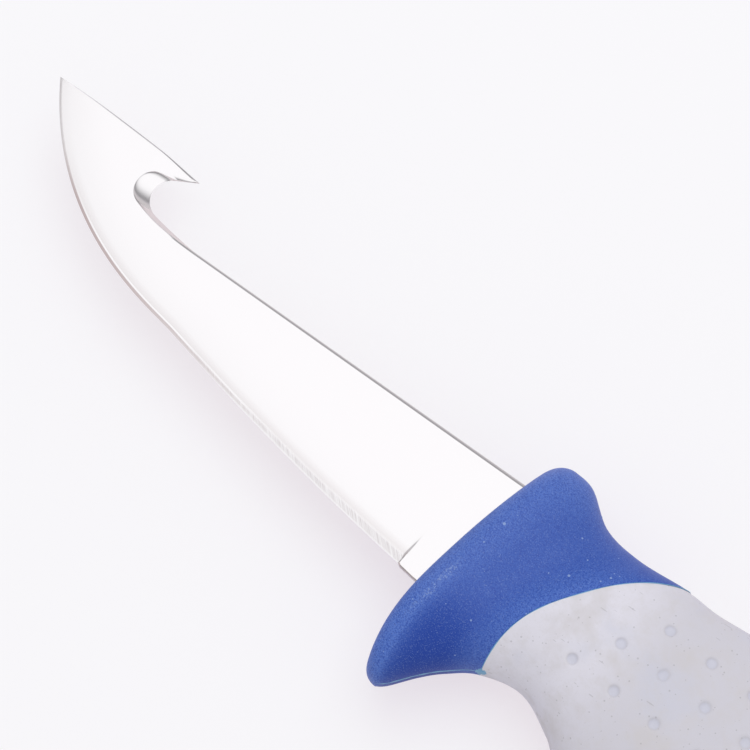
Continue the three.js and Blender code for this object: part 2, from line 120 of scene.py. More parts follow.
# %% Grids into pieces
def grid_quads(rows, columns):
    """Quads of a grid that wraps round its columns: each joins a point to the next column and row."""
    row, column = np.meshgrid(np.arange(rows - 1), np.arange(columns), indexing="ij")
    after = (column + 1) % columns
    quads = [row * columns + column, row * columns + after,
             (row + 1) * columns + after, (row + 1) * columns + column]
    return np.stack(quads, axis=-1).reshape(-1, 4)


def enclosed(points, quads):
    """Six times the volume in a mesh of quads: the sum of corner triple products, by its sign."""
    a, b, c, d = (points[quads[:, corner]] for corner in range(4))
    return np.sum(a * (np.cross(b, c) + np.cross(c, d)))


def make_piece(name, tubes, sharp_angle=35.0, attributes=()):
    """One mesh piece from wrapped grids of maker's points, each closed by a face at both its ends."""
    points, faces, start = [], [], 0
    for grid in tubes:
        rows, columns = grid.shape[:2]
        flat = grid.reshape(-1, 3)
        quads = grid_quads(rows, columns)
        turn = 1 if enclosed(flat, quads) > 0 else -1
        ends = [np.arange(columns)[::-1], np.arange(columns) + (rows - 1) * columns]
        faces += [(face[::turn] + start).tolist() for face in list(quads) + ends]
        points.append(flat)
        start += rows * columns
    mesh = bpy.data.meshes.new(name)
    mesh.from_pydata(to_row(np.concatenate(points)).tolist(), [], faces)
    for label, values in attributes:
        layer = mesh.attributes.new(label, "FLOAT", "POINT")
        layer.data.foreach_set("value", np.ascontiguousarray(values, dtype=np.float32).ravel())
    mesh.shade_smooth()
    mesh.set_sharp_from_angle(angle=math.radians(sharp_angle))
    mesh.update()
    piece = bpy.data.objects.new(name, mesh)
    bpy.context.scene.collection.objects.link(piece)
    print(name, "has", start, "points and", len(faces), "faces")
    return piece


print("a grid of 3 rows and 4 columns has", len(grid_quads(3, 4)), "quads")

# %% [markdown]
# Two small formulas come back all the time. A soft step lets a form fade in without a visible corner,
# and a straight blend moves from one size or place to another.

# %% Soft step and blend
def smoothstep(low, high, value):
    """A soft step from 0 to 1 between low and high: 3t^2 - 2t^3 of the clamped share t."""
    share = np.clip((value - low) / (high - low), 0.0, 1.0)
    return share * share * (3.0 - 2.0 * share)


def mix(first, second, share):
    """A straight blend from the first value to the second."""
    return first + (second - first) * share


print("a quarter of the way along, a soft step has risen to", smoothstep(0.0, 1.0, 0.25))

# %% [markdown]
# The blade's outline has two sides. Along the bottom run the ricasso, the long edge and the belly
# that rises to the point. Along the top run the straight spine, the round throat of the line hook
# and the back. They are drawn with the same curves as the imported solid, so both agree.

# %% Blade outline
HALF = 0.85
HEEL = np.array([8.9, 21.85])
BELLY_START = np.array([60.5, 12.8])
POINT = np.array([BLADE_LENGTH, -11.3])
EDGE_CONTROL = (HEEL + BELLY_START) / 2 + [0.0, 1.4]
BELLY_HEADING = (BELLY_START - EDGE_CONTROL) / np.linalg.norm(BELLY_START - EDGE_CONTROL)
BELLY_CONTROL = BELLY_START + 5.8 * BELLY_HEADING
POINT_ANGLE = math.radians(56.8)
POINT_CONTROL = POINT + 26.0 * np.array([-math.cos(POINT_ANGLE), math.sin(POINT_ANGLE)])
SHOULDER_X = -9.0
HEEL_SLOPE = (EDGE_CONTROL[1] - HEEL[1]) / (EDGE_CONTROL[0] - HEEL[0])
HEEL_STEP = 0.32
SHOULDER = np.array([SHOULDER_X, HEEL[1] + HEEL_STEP + HEEL_SLOPE * (SHOULDER_X - HEEL[0])])
RICASSO_END = HEEL + [-0.5, HEEL_STEP]


def bezier(controls, share):
    """A Bezier curve by repeated blending: each round blends neighbouring controls by the share."""
    share = np.asarray(share)[:, None]
    layers = [np.broadcast_to(control, (len(share), len(control))) for control in controls]
    while len(layers) > 1:
        layers = [mix(a, b, share) for a, b in zip(layers, layers[1:])]
    return layers[0]


EDGE_LINE = np.concatenate([
    [SHOULDER, RICASSO_END],
    bezier([HEEL, EDGE_CONTROL, BELLY_START], np.linspace(0.0, 1.0, 70)),
    bezier([BELLY_START, BELLY_CONTROL, POINT_CONTROL, POINT], np.linspace(0.0, 1.0, 90)[1:]),
])
EDGE_RUN = np.concatenate([[0.0], np.cumsum(np.linalg.norm(np.diff(EDGE_LINE, axis=0), axis=1))])
HEEL_RUN = EDGE_RUN[2]


def on_edge(run):
    """The place on the bottom line after a run of so many millimetres from the shoulder."""
    return np.stack([np.interp(run, EDGE_RUN, EDGE_LINE[:, axis]) for axis in (0, 1)], axis=-1)


def nearest_edge(spots):
    """Distance from places in plan to the bottom line, and the run to the nearest place on it."""
    start, leg = EDGE_LINE[:-1], np.diff(EDGE_LINE, axis=0)
    away = spots[:, None, :] - start
    share = np.clip((away * leg).sum(-1) / (leg * leg).sum(-1), 0.0, 1.0)
    gap = np.linalg.norm(away - share[..., None] * leg, axis=-1)
    best = np.argmin(gap, axis=1)
    row = np.arange(len(spots))
    return gap[row, best], EDGE_RUN[best] + share[row, best] * np.linalg.norm(leg[best], axis=1)


print("the cutting edge is", round(EDGE_RUN[-1] - HEEL_RUN, 1), "mm long")

# %% [markdown]
# The blade is ground on a belt. From the edge inwards comes a narrow bevel, then a side that rounds
# over until it meets the flat. Behind the heel the grind stops in a plunge, whose step is as steep
# everywhere and so gets narrower until it ends where the side meets the flat. The thickness depends
# only on the distance to the edge and the place along the blade, and one function gives it anywhere.

# %% Blade thickness
GRIND_HEIGHT = 8.8
GRIND_ROUNDING = 2.2
EDGE_LAND = 0.02
BEVEL_SLOPE = math.tan(math.radians(18.0))
BEVEL_STOPS = ([0.0, 17.0, 36.0, 52.0, 110.0], [1.45, 0.95, 0.66, 0.52, 0.4])
RICASSO_CORNER = 0.18
PLUNGE_PLACE = 8.86
PLUNGE_LEAN = 0.16
PLUNGE_CURVE = 0.0085
PLUNGE_REACH = 5.6
PLUNGE_LIMITS = (0.08, 0.5)
BEVEL_REACH = 0.12


def bevel_width(run):
    """The edge bevel narrows from the heel to the point, by the widths seen in the photograph."""
    return np.interp(run - HEEL_RUN, *BEVEL_STOPS)


def ease(share):
    """A rise from 0 to 1 that starts at full slope and ends level."""
    return 1.0 - (1.0 - np.clip(share, 0.0, 1.0)) ** 2


def past_plunge(spots, distance):
    """How far a place lies in front of the plunge, whose line leans towards the guard as it rises."""
    return spots[:, 0] - PLUNGE_PLACE + PLUNGE_LEAN * distance - PLUNGE_CURVE * distance ** 2


def half_thickness(spots):
    """Half the blade's thickness in plan. The side rises by 1 - (1 - up)^2.2, steep at the bevel and
    level at the flat; it and the bevel set in at the plunge, over reaches of their own."""
    distance, run = nearest_edge(spots)
    bevel = bevel_width(run)
    foot = EDGE_LAND + BEVEL_SLOPE * bevel
    up = np.clip((distance - bevel) / (GRIND_HEIGHT - bevel), 0.0, 1.0)
    side = mix(foot, HALF, 1.0 - (1.0 - up) ** GRIND_ROUNDING)
    past = np.maximum(past_plunge(spots, distance), 0.0)
    plain = HALF - np.maximum(RICASSO_CORNER - distance, 0.0)
    narrowing = mix(0.12, 1.0, smoothstep(0.7, 1.05, distance / bevel))
    reach = np.clip(PLUNGE_REACH * (HALF - side), *PLUNGE_LIMITS) * narrowing
    ground = mix(plain, side, ease(past / reach))
    return ground - BEVEL_SLOPE * np.maximum(bevel - distance, 0.0) * ease(past / BEVEL_REACH)


check_line = np.array([[40.0, 0.5], [40.0, 10.0], [40.0, 16.0], [4.0, 12.0]])
print("half thickness at four places:", half_thickness(check_line).round(3), "mm")

# %% [markdown]
# The line hook is cut aslant by a round stone, so its wall leans and ends in an edge on the far
# face. In plan that is a rim drawn twice: once on the far face, and once on the near face, further
# towards the point and a little tighter. A rim runs out of the spine, turns round the throat and
# goes straight to the spur, where both rims meet.

# %% Hook rims
SPUR = np.array([72.2, -10.2])
FAR_THROAT = np.array([74.0, -5.05])
NEAR_THROAT = FAR_THROAT + [3.25, 0.55]


def ray(turn):
    """The unit direction of a turn in plan."""
    return np.stack([np.cos(turn), np.sin(turn)], axis=-1)


def hook_rim(throat, radius, wall_angle, run_out):
    """One rim as its start on the spine and three curves of a share: run-out, round and jaw.
    The run-out leaves the spine tangentially, and the jaw is the tangent from the round to the spur."""
    foot_turn = math.pi / 2 - wall_angle
    foot = throat + radius * ray(foot_turn)
    meet = np.array([foot[0] + foot[1] / math.tan(wall_angle), 0.0])
    start = meet - [run_out, 0.0]
    to_spur = SPUR - throat
    top_turn = math.atan2(to_spur[1], to_spur[0]) + math.acos(radius / np.linalg.norm(to_spur))
    top = throat + radius * ray(top_turn)
    return (start[0],
            lambda share: bezier([start, meet, foot], share),
            lambda share: throat + radius * ray(mix(foot_turn, top_turn, share)),
            lambda share: mix(top, SPUR, share[:, None]))


def back_line(share):
    """The back from the spur (0) to the point (1): a flat arch that levels out at the point."""
    return bezier([SPUR, [(SPUR[0] + POINT[0]) / 2, POINT[1]], POINT], share)


far_start, far_run_out, far_round, far_jaw = hook_rim(
    FAR_THROAT, radius=3.6, wall_angle=math.radians(10.0), run_out=7.0)
near_start, near_run_out, near_round, near_jaw = hook_rim(
    NEAR_THROAT, radius=3.25, wall_angle=math.radians(18.0), run_out=4.0)
print("the hook leaves the spine at", round(far_start, 2), "and its spur ends at", SPUR)

# %% [markdown]
# The blade is a tube of loops. Each loop starts at a place on the bottom line, runs across the far
# face to the top line, up the wall there, and back across the near face. Straight strips from one
# line to the other never cross if they are paired with care. So the bottom line goes on round the
# point and along the back: the belly feeds the throat, and the back feeds the jaw up to the spur.

# %% Pair the blade's two sides
def strip(count, bottom, far, near):
    """Paired places for some loops: the bottom line, and the top line on the far and the near face."""
    share = np.linspace(0.0, 1.0, count, endpoint=False)
    return bottom(share), far(share), near(share)


def spine_to(x_from, x_to):
    """A stretch of the straight spine as a function of the share."""
    return lambda share: mix(np.array([x_from, 0.0]), np.array([x_to, 0.0]), share[:, None])


def edge_to(x_from, x_to):
    """A stretch of the bottom line as a function of the share."""
    return lambda share: on_edge(mix(run_at(x_from), run_at(x_to), share))


def part_of(curve, share_from, share_to):
    """A stretch of a curve, cut out by two of its shares."""
    return lambda share: curve(mix(share_from, share_to, share))


def run_at(x):
    """The run along the bottom line at which it passes a given x."""
    return np.interp(x, EDGE_LINE[:, 0], EDGE_RUN)


def plain_strip(count, x_from, x_to):
    """Loops where both faces run straight up from the bottom line to the spine."""
    spine = spine_to(x_from, x_to)
    return strip(count, edge_to(x_from, x_to), spine, spine)


BEFORE_PLUNGE, PAST_PLUNGE = 7.2, 11.8
BELOW_RUN_OUT, BELOW_ROUND = 66.0, 79.0
TURN_SHARE = 0.77
JAW_SHARE = 0.265
rounds = (far_round, near_round)
strips = [
    plain_strip(14, SHOULDER_X, BEFORE_PLUNGE),
    plain_strip(52, BEFORE_PLUNGE, PAST_PLUNGE),
    strip(110, edge_to(PAST_PLUNGE, BELOW_RUN_OUT),
          spine_to(PAST_PLUNGE, far_start), spine_to(PAST_PLUNGE, near_start)),
    strip(64, edge_to(BELOW_RUN_OUT, BELOW_ROUND), far_run_out, near_run_out),
    strip(110, edge_to(BELOW_ROUND, POINT[0]), *(part_of(rim, 0.0, TURN_SHARE) for rim in rounds)),
    strip(70, part_of(back_line, 1.0, JAW_SHARE), *(part_of(rim, TURN_SHARE, 1.0) for rim in rounds)),
    strip(80, part_of(back_line, JAW_SHARE, 0.001), far_jaw, near_jaw),
]
bottom, far_top, near_top = (np.concatenate(places) for places in zip(*strips))
strip_ends = np.cumsum([len(part[0]) for part in strips])
on_back = np.arange(len(bottom)) >= strip_ends[4]
print("the blade has", len(bottom), "loops")

# %% [markdown]
# The steel's corners are broken: the spine and the back have a narrow chamfer that shows as a dark
# line, the rim of the hook is softened on the near face, and its jaw has a wider bevel that runs out
# at the spur. The chamfer's foot lies a little inside the top line, so the inward direction is needed
# there: the line's own direction, turned by a right angle. Along the back the chamfer is taken off
# the thickness instead.

# %% Corner sizes along the top line
def inward(top):
    """Unit directions from the top line into the steel: its tangent turned a quarter turn."""
    along = np.gradient(top, axis=0)
    along /= np.maximum(np.linalg.norm(along, axis=1, keepdims=True), 1e-9)
    return np.stack([-along[:, 1], along[:, 0]], axis=-1)


CHAMFER_SLOPE = math.tan(math.radians(24.0))
CHAMFER_SHARE = CHAMFER_SLOPE / (2.0 * HALF)
SPINE_CHAMFER = (0.56, 0.34)
HOOK_RIM, FAR_RIM = 0.12, 0.03
RIM_WALL, JAW_WALL, FAR_WALL = 0.03, 0.95, 0.006
JAW_FROM, JAW_FULL = 7.4, 5.4
FAR_TAPER = 6.6
JAW_SPREAD = 0.18
JAW_BEVEL = 1.3
LEAST_INSET = 0.004
LEAST_SHARE = 0.002
loop_number = np.arange(len(bottom))
in_hook = smoothstep(strip_ends[2] - 8, strip_ends[2] + 16, loop_number)
to_spur = np.linalg.norm(near_top - SPUR, axis=1)
on_jaw = smoothstep(JAW_FROM, JAW_FULL, to_spur) * in_hook
taper = mix(1.0, smoothstep(0.0, FAR_TAPER, to_spur), in_hook)
spine_inset = mix(*SPINE_CHAMFER, np.clip(near_top[:, 0] / 100.0, 0.0, 1.0))
jaw_inset = np.minimum(JAW_SPREAD * to_spur, JAW_BEVEL)
near_inset = mix(spine_inset, mix(HOOK_RIM, jaw_inset, on_jaw), in_hook) + LEAST_INSET
far_inset = mix(spine_inset, FAR_RIM, in_hook) * taper + LEAST_INSET
near_share = mix(CHAMFER_SHARE * spine_inset, mix(RIM_WALL, JAW_WALL, on_jaw), in_hook) + LEAST_SHARE
far_share = mix(CHAMFER_SHARE * spine_inset, FAR_WALL, in_hook) * taper + LEAST_SHARE
roundness = mix(0.12, mix(1.0, 0.5, on_jaw), in_hook)
near_foot = near_top + near_inset[:, None] * inward(near_top)
far_foot = far_top + far_inset[:, None] * inward(far_top)
print("chamfers from", near_inset.min().round(3), "to", near_inset.max().round(3), "mm wide")

# %% [markdown]
# Along each strip the points are set by their distance to the edge, so that rows of points fall
# right on the bevel's shoulder and fill the side evenly. A few rounds of correction find them:
# measure the distance at a guess, then move the guess by what is missing.

# %% Blade faces
SIDE_SHARES = np.linspace(0.0, 1.0, 23)[1:]
BEVEL_SHARES = [0.0, 0.02, 0.12, 0.13, 0.5, 0.93, 1.05]
SPUR_DROP = 1.5
SPUR_SPAN = 8.5
FLAT_SHARES = np.array([0.12, 0.26, 0.42, 0.58, 0.74, 0.88, 0.96, 0.994, 1.0])


def back_inset(x):
    """The width of the chamfer along the back, which runs out at the spur and at the point."""
    width = mix(0.32, 0.18, smoothstep(0.0, 9.0, x - SPUR[0]))
    return width * smoothstep(0.0, 1.6, x - SPUR[0]) * smoothstep(0.0, 16.0, POINT[0] - x) + 0.003


def back_chamfer(spots):
    """What the chamfer takes off the thickness: its slope times the depth inside its foot."""
    share = np.clip((spots[..., 0] - SPUR[0]) / (POINT[0] - SPUR[0]), 0.0, 1.0)
    gap = spots[..., 1] - back_line(share.ravel())[:, 1].reshape(share.shape)
    return CHAMFER_SLOPE * np.maximum(back_inset(spots[..., 0]) - gap, 0.0)


def thickness_at(spots):
    """Half the thickness anywhere: the ground blade's, less the chamfer along the back."""
    half = half_thickness(spots.reshape(-1, 2)).reshape(spots.shape[:-1])
    return np.maximum(half - back_chamfer(spots), 0.15 * half)


def face_points(feet):
    """A face as a grid of loops by rows: strips from the bottom line to the feet of the chamfer."""
    width, run = nearest_edge(feet)
    length = np.linalg.norm(feet - bottom, axis=1)
    bevel = np.where(on_back, back_inset(bottom[:, 0]), np.minimum(bevel_width(run), 0.3 * width))[:, None]
    reach = np.where(on_back, 0.9 * length, np.minimum(GRIND_HEIGHT + 1.5, 0.9 * width))[:, None]
    width = np.where(on_back, length, width)[:, None]
    wanted = np.concatenate([
        bevel * BEVEL_SHARES,
        mix(bevel, reach, SIDE_SHARES),
    ], axis=1)
    share = wanted / width
    for _ in range(8):
        spots = bottom[:, None, :] + share[..., None] * (feet - bottom)[:, None, :]
        measured = nearest_edge(spots.reshape(-1, 2))[0].reshape(share.shape)
        share = np.where(on_back[:, None], share, np.clip(share + (wanted - measured) / width, 0.0, 0.97))
    share = np.concatenate([share, mix(share[:, -1:], 1.0, FLAT_SHARES)], axis=1)
    spots = bottom[:, None, :] + share[..., None] * (feet - bottom)[:, None, :]
    return np.concatenate([spots, thickness_at(spots)[..., None]], axis=-1)


def spur_drop(spots):
    """How far the near face sinks towards the spur, which was stoned thin from that side."""
    return SPUR_DROP * (1.0 - smoothstep(0.0, SPUR_SPAN, np.linalg.norm(spots - SPUR, axis=-1)))


near_face = face_points(near_foot)
near_face[..., 2] -= spur_drop(near_face[..., :2])
far_face = face_points(far_foot) * [1.0, 1.0, -1.0]
print("each face is a grid of", near_face.shape[:2])

# %% [markdown]
# A loop is closed by the wall at the top line. In the hook the wall is steeper just under the near
# rim, where the stone ran out, by the curve s(1 - s^7) of the share s up the wall. Its two corners
# are small curves: from the foot on the face, past the true corner, to a place on the wall.

# %% Blade loops
CORNER_SHARES = np.linspace(0.0, 1.0, 9)[1:]
WALL_SHARES = 1.0 - (1.0 - np.linspace(0.0, 1.0, 14)[1:-1]) ** 1.7
WALL_HOLLOW = 0.14


def lift(spots, height):
    """Places in plan raised to a height each."""
    return np.concatenate([spots, np.broadcast_to(height, spots.shape[:1])[:, None]], axis=1)


def corner_rows(foot, corner, wall):
    """Rows of a broken corner: a curve from the foot to the wall that leans to the true corner by
    the roundness, from a straight chamfer at 0 to a soft round at 1."""
    share = CORNER_SHARES[None, :, None]
    control = mix((foot + wall) / 2, corner, roundness[:, None])
    first = mix(foot[:, None], control[:, None], share)
    return mix(first, mix(control[:, None], wall[:, None], share), share)


near_corner = lift(near_top, thickness_at(near_top) - spur_drop(near_top))
far_corner = lift(far_top, far_face[:, -1, 2])
near_wall = mix(near_corner, far_corner, near_share[:, None])
far_wall = mix(far_corner, near_corner, far_share[:, None])
wall_rows = mix(far_wall[:, None], near_wall[:, None], WALL_SHARES[None, :, None])
wall_hollow = WALL_HOLLOW * (in_hook * (1.0 - on_jaw))[:, None] * WALL_SHARES * (1.0 - WALL_SHARES ** 7)
wall_rows[..., :2] += wall_hollow[..., None] * inward(near_top)[:, None]
blade_loops = np.concatenate([
    far_face,
    corner_rows(far_face[:, -1], far_corner, far_wall),
    wall_rows,
    corner_rows(near_face[:, -1], near_corner, near_wall)[:, ::-1],
    near_face[:, ::-1],
], axis=1)
print("a loop has", blade_loops.shape[1], "points")

# %% [markdown]
# Behind the shoulder the tang follows, a flat tongue with a round end that the handle hides. It could
# be a piece of its own, but a strip of the same loops leaves no seam in the steel.

# %% Tang loops
TANG_TOP = 4.95
TANG_DROP = 21.4
TANG_END = np.array([-89.65, 17.0])
TANG_END_RADIUS = 5.8

turn = np.radians([14.0, 30.0, 46.0, 62.0, 78.0, 90.0])
end_x = TANG_END[0] + TANG_END_RADIUS * (1.0 - np.cos(turn))
end_rise = TANG_END_RADIUS * np.sin(turn)
tang_x = np.concatenate([end_x, np.linspace(end_x[-1], SHOULDER_X, 12)[1:]])
tang_share = np.clip((tang_x - end_x[-1]) / (SHOULDER_X - end_x[-1]), 0.0, 1.0)
tang_rise = np.concatenate([end_rise, np.full(11, TANG_END_RADIUS)])
tang_top = mix(TANG_END[1] - tang_rise, TANG_TOP, tang_share)
tang_drop = mix(TANG_END[1] + tang_rise, TANG_DROP, tang_share)
face_count = far_face.shape[1]
across = np.linspace(0.0, 1.0, face_count)
wall_count = blade_loops.shape[1] - 2 * face_count
loop_share = np.concatenate([across, np.ones(wall_count), across[::-1]])
loop_height = np.concatenate([
    np.full(face_count, -HALF), np.linspace(-HALF, HALF, wall_count + 2)[1:-1], np.full(face_count, HALF)])
tang_loops = np.stack([
    np.broadcast_to(tang_x[:, None], (len(tang_x), len(loop_share))),
    mix(tang_drop[:, None], tang_top[:, None], loop_share),
    np.broadcast_to(loop_height, (len(tang_x), len(loop_share))),
], axis=-1)
loops = np.concatenate([tang_loops, blade_loops])
print("tang and blade have", len(loops), "loops together")

# %% [markdown]
# Every point of the blade gets its measures: its run along the edge, its distance to it, whether it is
# on the bevel and how far past it. The steel's finish reads them, so its lines follow the edge.

# %% Blade piece
distance, run = nearest_edge(loops[..., :2].reshape(-1, 2))
past = past_plunge(loops[..., :2].reshape(-1, 2), distance)
on_bevel = (1.0 - smoothstep(0.93, 1.05, distance / bevel_width(run))) * smoothstep(-0.05, 0.15, past)
past_bevel = np.where(past > 0.0, np.maximum(distance - bevel_width(run), 0.0), 9.0)
blade = make_piece("blade_ground", [loops], 22.0, [
    ("edge_run", run), ("edge_distance", distance), ("edge_bevel", on_bevel), ("past_bevel", past_bevel)])

# %% [markdown]
# The handle is a loft. At each station one point on the back is paired with one on the belly, and
# the section between them is a rounded box, a superellipse, that bows forward round the thumb. The
# stations carry the guard's two lobes, the finger groove, the palm swell and the waist. Smooth
# curves through the stations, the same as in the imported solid, give a section anywhere.

# %% Handle sizes
GUARD_THICKNESS = 18.8
PALM_THICKNESS = 24.0
WAIST_THICKNESS = 21.6
BUTT_THICKNESS = 20.8
GUARD_SCOOP = 0.9
FACE_BOW = 2.15
FACE_SKEW = 0.6
JOINT_BOW = 4.9
JOINT_SKEW = 0.25
BOW_FLATNESS = 2.7
SQUARENESS = 2.5
GRIP_JOINT = 4.0
BUTT_JOINT = 10.0
END = 12.0
BACK_RISE, GROOVE_DROP, PALM_DROP, WAIST_DROP = 1.2, 27.2, 37.0, 29.8
BUTT_LENGTH, BUTT_FALL, BUTT_DROP = 20.0, 8.4, 34.0
THUMB_LOBE = np.array([-5.4, -6.35])
FINGER_LOBE = np.array([0.5, GUARD_DROP])
NECK_TOP = np.array([-31.1, -0.85])
NECK_BELLY = np.array([-11.6, 28.6])
BUTT_TOP = np.array([-97.0, BUTT_FALL / 2])
BUTT_BELLY = np.array([-94.7, WAIST_DROP])
print("the guard is", FINGER_LOBE[1] - THUMB_LOBE[1], "mm tall")

# %% [markdown]
# The guard's stations move by shares from its lobes to its neck, the grip's from the neck to the butt,
# and the butt's go straight back. A share says how far along the way a number has come, so a longer
# grip or a taller guard takes its stations along.

# %% Handle stations
guard_shares = np.array([
    [0.0, 0.0, 0.0, 0.0],
    [0.15, 0.13, 0.13, 0.11],
    [0.37, 0.86, 0.39, 0.46],
    [0.64, 1.07, 0.64, 0.73],
    [1.0, 1.0, 1.0, 1.0],
])
guard_stations = np.column_stack([
    mix(np.append(THUMB_LOBE, FINGER_LOBE), np.append(NECK_TOP, NECK_BELLY), guard_shares),
    mix(GUARD_THICKNESS, PALM_THICKNESS, guard_shares[:, 2] / 3) / 2
    - GUARD_SCOOP * np.sin(math.pi * guard_shares[:, 2]),
    mix(FACE_BOW, JOINT_BOW, guard_shares[:, 2]),
])
grip_rows = np.array([
    [0.09, -BACK_RISE / 3, 0.085, GROOVE_DROP, mix(GUARD_THICKNESS, PALM_THICKNESS, 0.5)],
    [0.24, -BACK_RISE, 0.17, mix(GROOVE_DROP, PALM_DROP, 0.33),
     mix(GUARD_THICKNESS, PALM_THICKNESS, 0.8)],
    [0.4, -BACK_RISE, 0.29, PALM_DROP, PALM_THICKNESS],
    [0.61, -BACK_RISE / 2, 0.6, mix(PALM_DROP, WAIST_DROP, 0.45),
     mix(PALM_THICKNESS, WAIST_THICKNESS, 0.3)],
    [0.82, BUTT_FALL / 6, 0.83, WAIST_DROP, WAIST_THICKNESS],
])
grip_stations = np.stack([
    mix(NECK_TOP[0], BUTT_TOP[0], grip_rows[:, 0]), grip_rows[:, 1],
    mix(NECK_BELLY[0], BUTT_BELLY[0], grip_rows[:, 2]), grip_rows[:, 3],
    grip_rows[:, 4] / 2, JOINT_BOW * (1.0 - grip_rows[:, 0]) ** 2,
], axis=1)
butt_share = np.array([0.0, 0.55, 1.0])
butt_stations = np.stack([
    BUTT_TOP[0] - BUTT_LENGTH * butt_share, mix(BUTT_TOP[1], BUTT_FALL, butt_share),
    BUTT_BELLY[0] - BUTT_LENGTH * butt_share, mix(BUTT_BELLY[1], BUTT_DROP, butt_share),
    mix(WAIST_THICKNESS, BUTT_THICKNESS, butt_share) / 2, 0.0 * butt_share,
], axis=1)
STATIONS = np.concatenate([guard_stations, grip_stations, butt_stations])
print("the handle has", len(STATIONS), "stations")

# %% [markdown]
# The skin is a function of two numbers: the station along the handle and the turn round it. Drawing
# the section in or moving it ahead makes rims and end faces, so each moulding is only a list of rows,
# and a row is a station with its inset and its shift ahead.

# %% Handle surface
def at_station(at):
    """A smooth curve through the stations: Catmull-Rom, whose slope is half the chord around."""
    base = np.clip(np.floor(at).astype(int), 0, len(STATIONS) - 2)
    share = (at - base)[..., None]
    before, first, second, after = (
        STATIONS[np.clip(base + step, 0, len(STATIONS) - 1)] for step in (-1, 0, 1, 2))
    rise, fall = (second - before) / 2, (after - first) / 2
    cube = (2 * first - 2 * second + rise + fall) * share ** 3
    square = (3 * second - 3 * first - 2 * rise - fall) * share ** 2
    return cube + square + rise * share + first


def squared(value):
    """Bends a cosine or sine so that a circle becomes a rounded box."""
    return np.sign(value) * np.abs(value) ** (2.0 / SQUARENESS)


def handle(at, turn, inset=0.0, ahead=0.0):
    """The handle's skin at a station and a turn round it, drawn in by an inset and moved ahead.
    A turn of 0 is the back and half a turn the belly; the section bows forward between them."""
    at, turn, inset, ahead = np.broadcast_arrays(at, turn, inset, ahead)
    station = at_station(at)
    back, belly = station[..., 0:2], station[..., 2:4]
    skew = mix(FACE_SKEW, JOINT_SKEW, smoothstep(0.0, GRIP_JOINT, at))
    chord = belly - back
    length = np.linalg.norm(chord, axis=-1)
    down = chord / length[..., None]
    forward = np.stack([down[..., 1], -down[..., 0]], axis=-1)
    drop = (1.0 - squared(np.cos(turn))) / 2
    low = 2.0 * drop - 1.0
    bow = station[..., 5] * (1.0 - np.abs(low) ** BOW_FLATNESS) * (1.0 + skew * low)
    plan = back + down * (inset + (length - 2.0 * inset) * drop)[..., None] + forward * bow[..., None]
    side = (station[..., 4] - inset) * squared(np.sin(turn))
    return np.stack([plan[..., 0] + ahead, plan[..., 1], side], axis=-1)


print("the joint crosses the belly at", handle(GRIP_JOINT, math.pi).round(2))

# %% [markdown]
# A moulding is a grid on that skin. Its rows and turns are chosen freely, close together where the
# form is small, and its normals come from the grid itself: neighbours give two directions, and their
# cross product points out of the skin.

# %% Handle grids
def outward(points):
    """Unit normals of a wrapped grid: the cross product of its two directions, turned outwards."""
    along = np.gradient(points, axis=0)
    around = np.roll(points, -1, axis=1) - np.roll(points, 1, axis=1)
    normal = np.cross(along, around)
    normal /= np.maximum(np.linalg.norm(normal, axis=-1, keepdims=True), 1e-9)
    return normal * np.sign(np.sum(normal * (points - points.mean(axis=1, keepdims=True))))


def turns(count):
    """Equal turns round a section."""
    return np.linspace(0.0, 2.0 * math.pi, count, endpoint=False)


def rows_of(at, inset=0.0, ahead=0.0):
    """Rows of a moulding: station, inset and shift ahead, where a single number serves every row."""
    return np.stack(np.broadcast_arrays(at, inset, ahead), axis=1)


def skin_grid(rows, turn):
    """The handle's skin as a grid: its rows by equal or chosen turns."""
    return handle(rows[:, :1], turn[None, :], rows[:, 1:2], rows[:, 2:])


print("a quarter turn lies at", turns(4)[1].round(3))

# %% [markdown]
# The guard is the first stretch of that loft, with a rounded rim towards the blade. The rim is a
# quarter circle: while the section is drawn in, it moves ahead. At the joint the blue stops at a
# tiny rounded lip.

# %% Guard
RIM_RADIUS = 3.5
LIP_START = 0.04
LIP_AWAY = np.array([0.02, 0.005, 0.0, 0.0, 0.0])
LIP_INSET = np.array([0.0, 0.03, 0.1, 0.6, 3.0])
rim_turn = np.linspace(0.0, math.pi / 2, 14)[:-1]
front = np.linspace(8.6, RIM_RADIUS, 8)[:-1]
guard_rows = np.concatenate([
    rows_of(0.0, front, RIM_RADIUS),
    rows_of(0.0, RIM_RADIUS * (1.0 - np.sin(rim_turn)), RIM_RADIUS * np.cos(rim_turn)),
    rows_of(np.linspace(0.0, GRIP_JOINT - LIP_START, 80)),
    rows_of(GRIP_JOINT - LIP_AWAY, LIP_INSET),
])
guard_grid = skin_grid(guard_rows, turns(144))
guard_station = np.broadcast_to(guard_rows[:, :1], guard_grid.shape[:2])
guard_ahead = np.broadcast_to(guard_rows[:, 2:], guard_grid.shape[:2])
guard_skin = make_piece("guard_skin", [guard_grid], 40.0,
                        [("station", guard_station), ("ahead", guard_ahead)])

# %% [markdown]
# The grip's dimples lie in three staggered rows that fall a little towards the belly on their way
# back. They are placed in plan, each row starting behind the neck and stopping short of the butt cap.

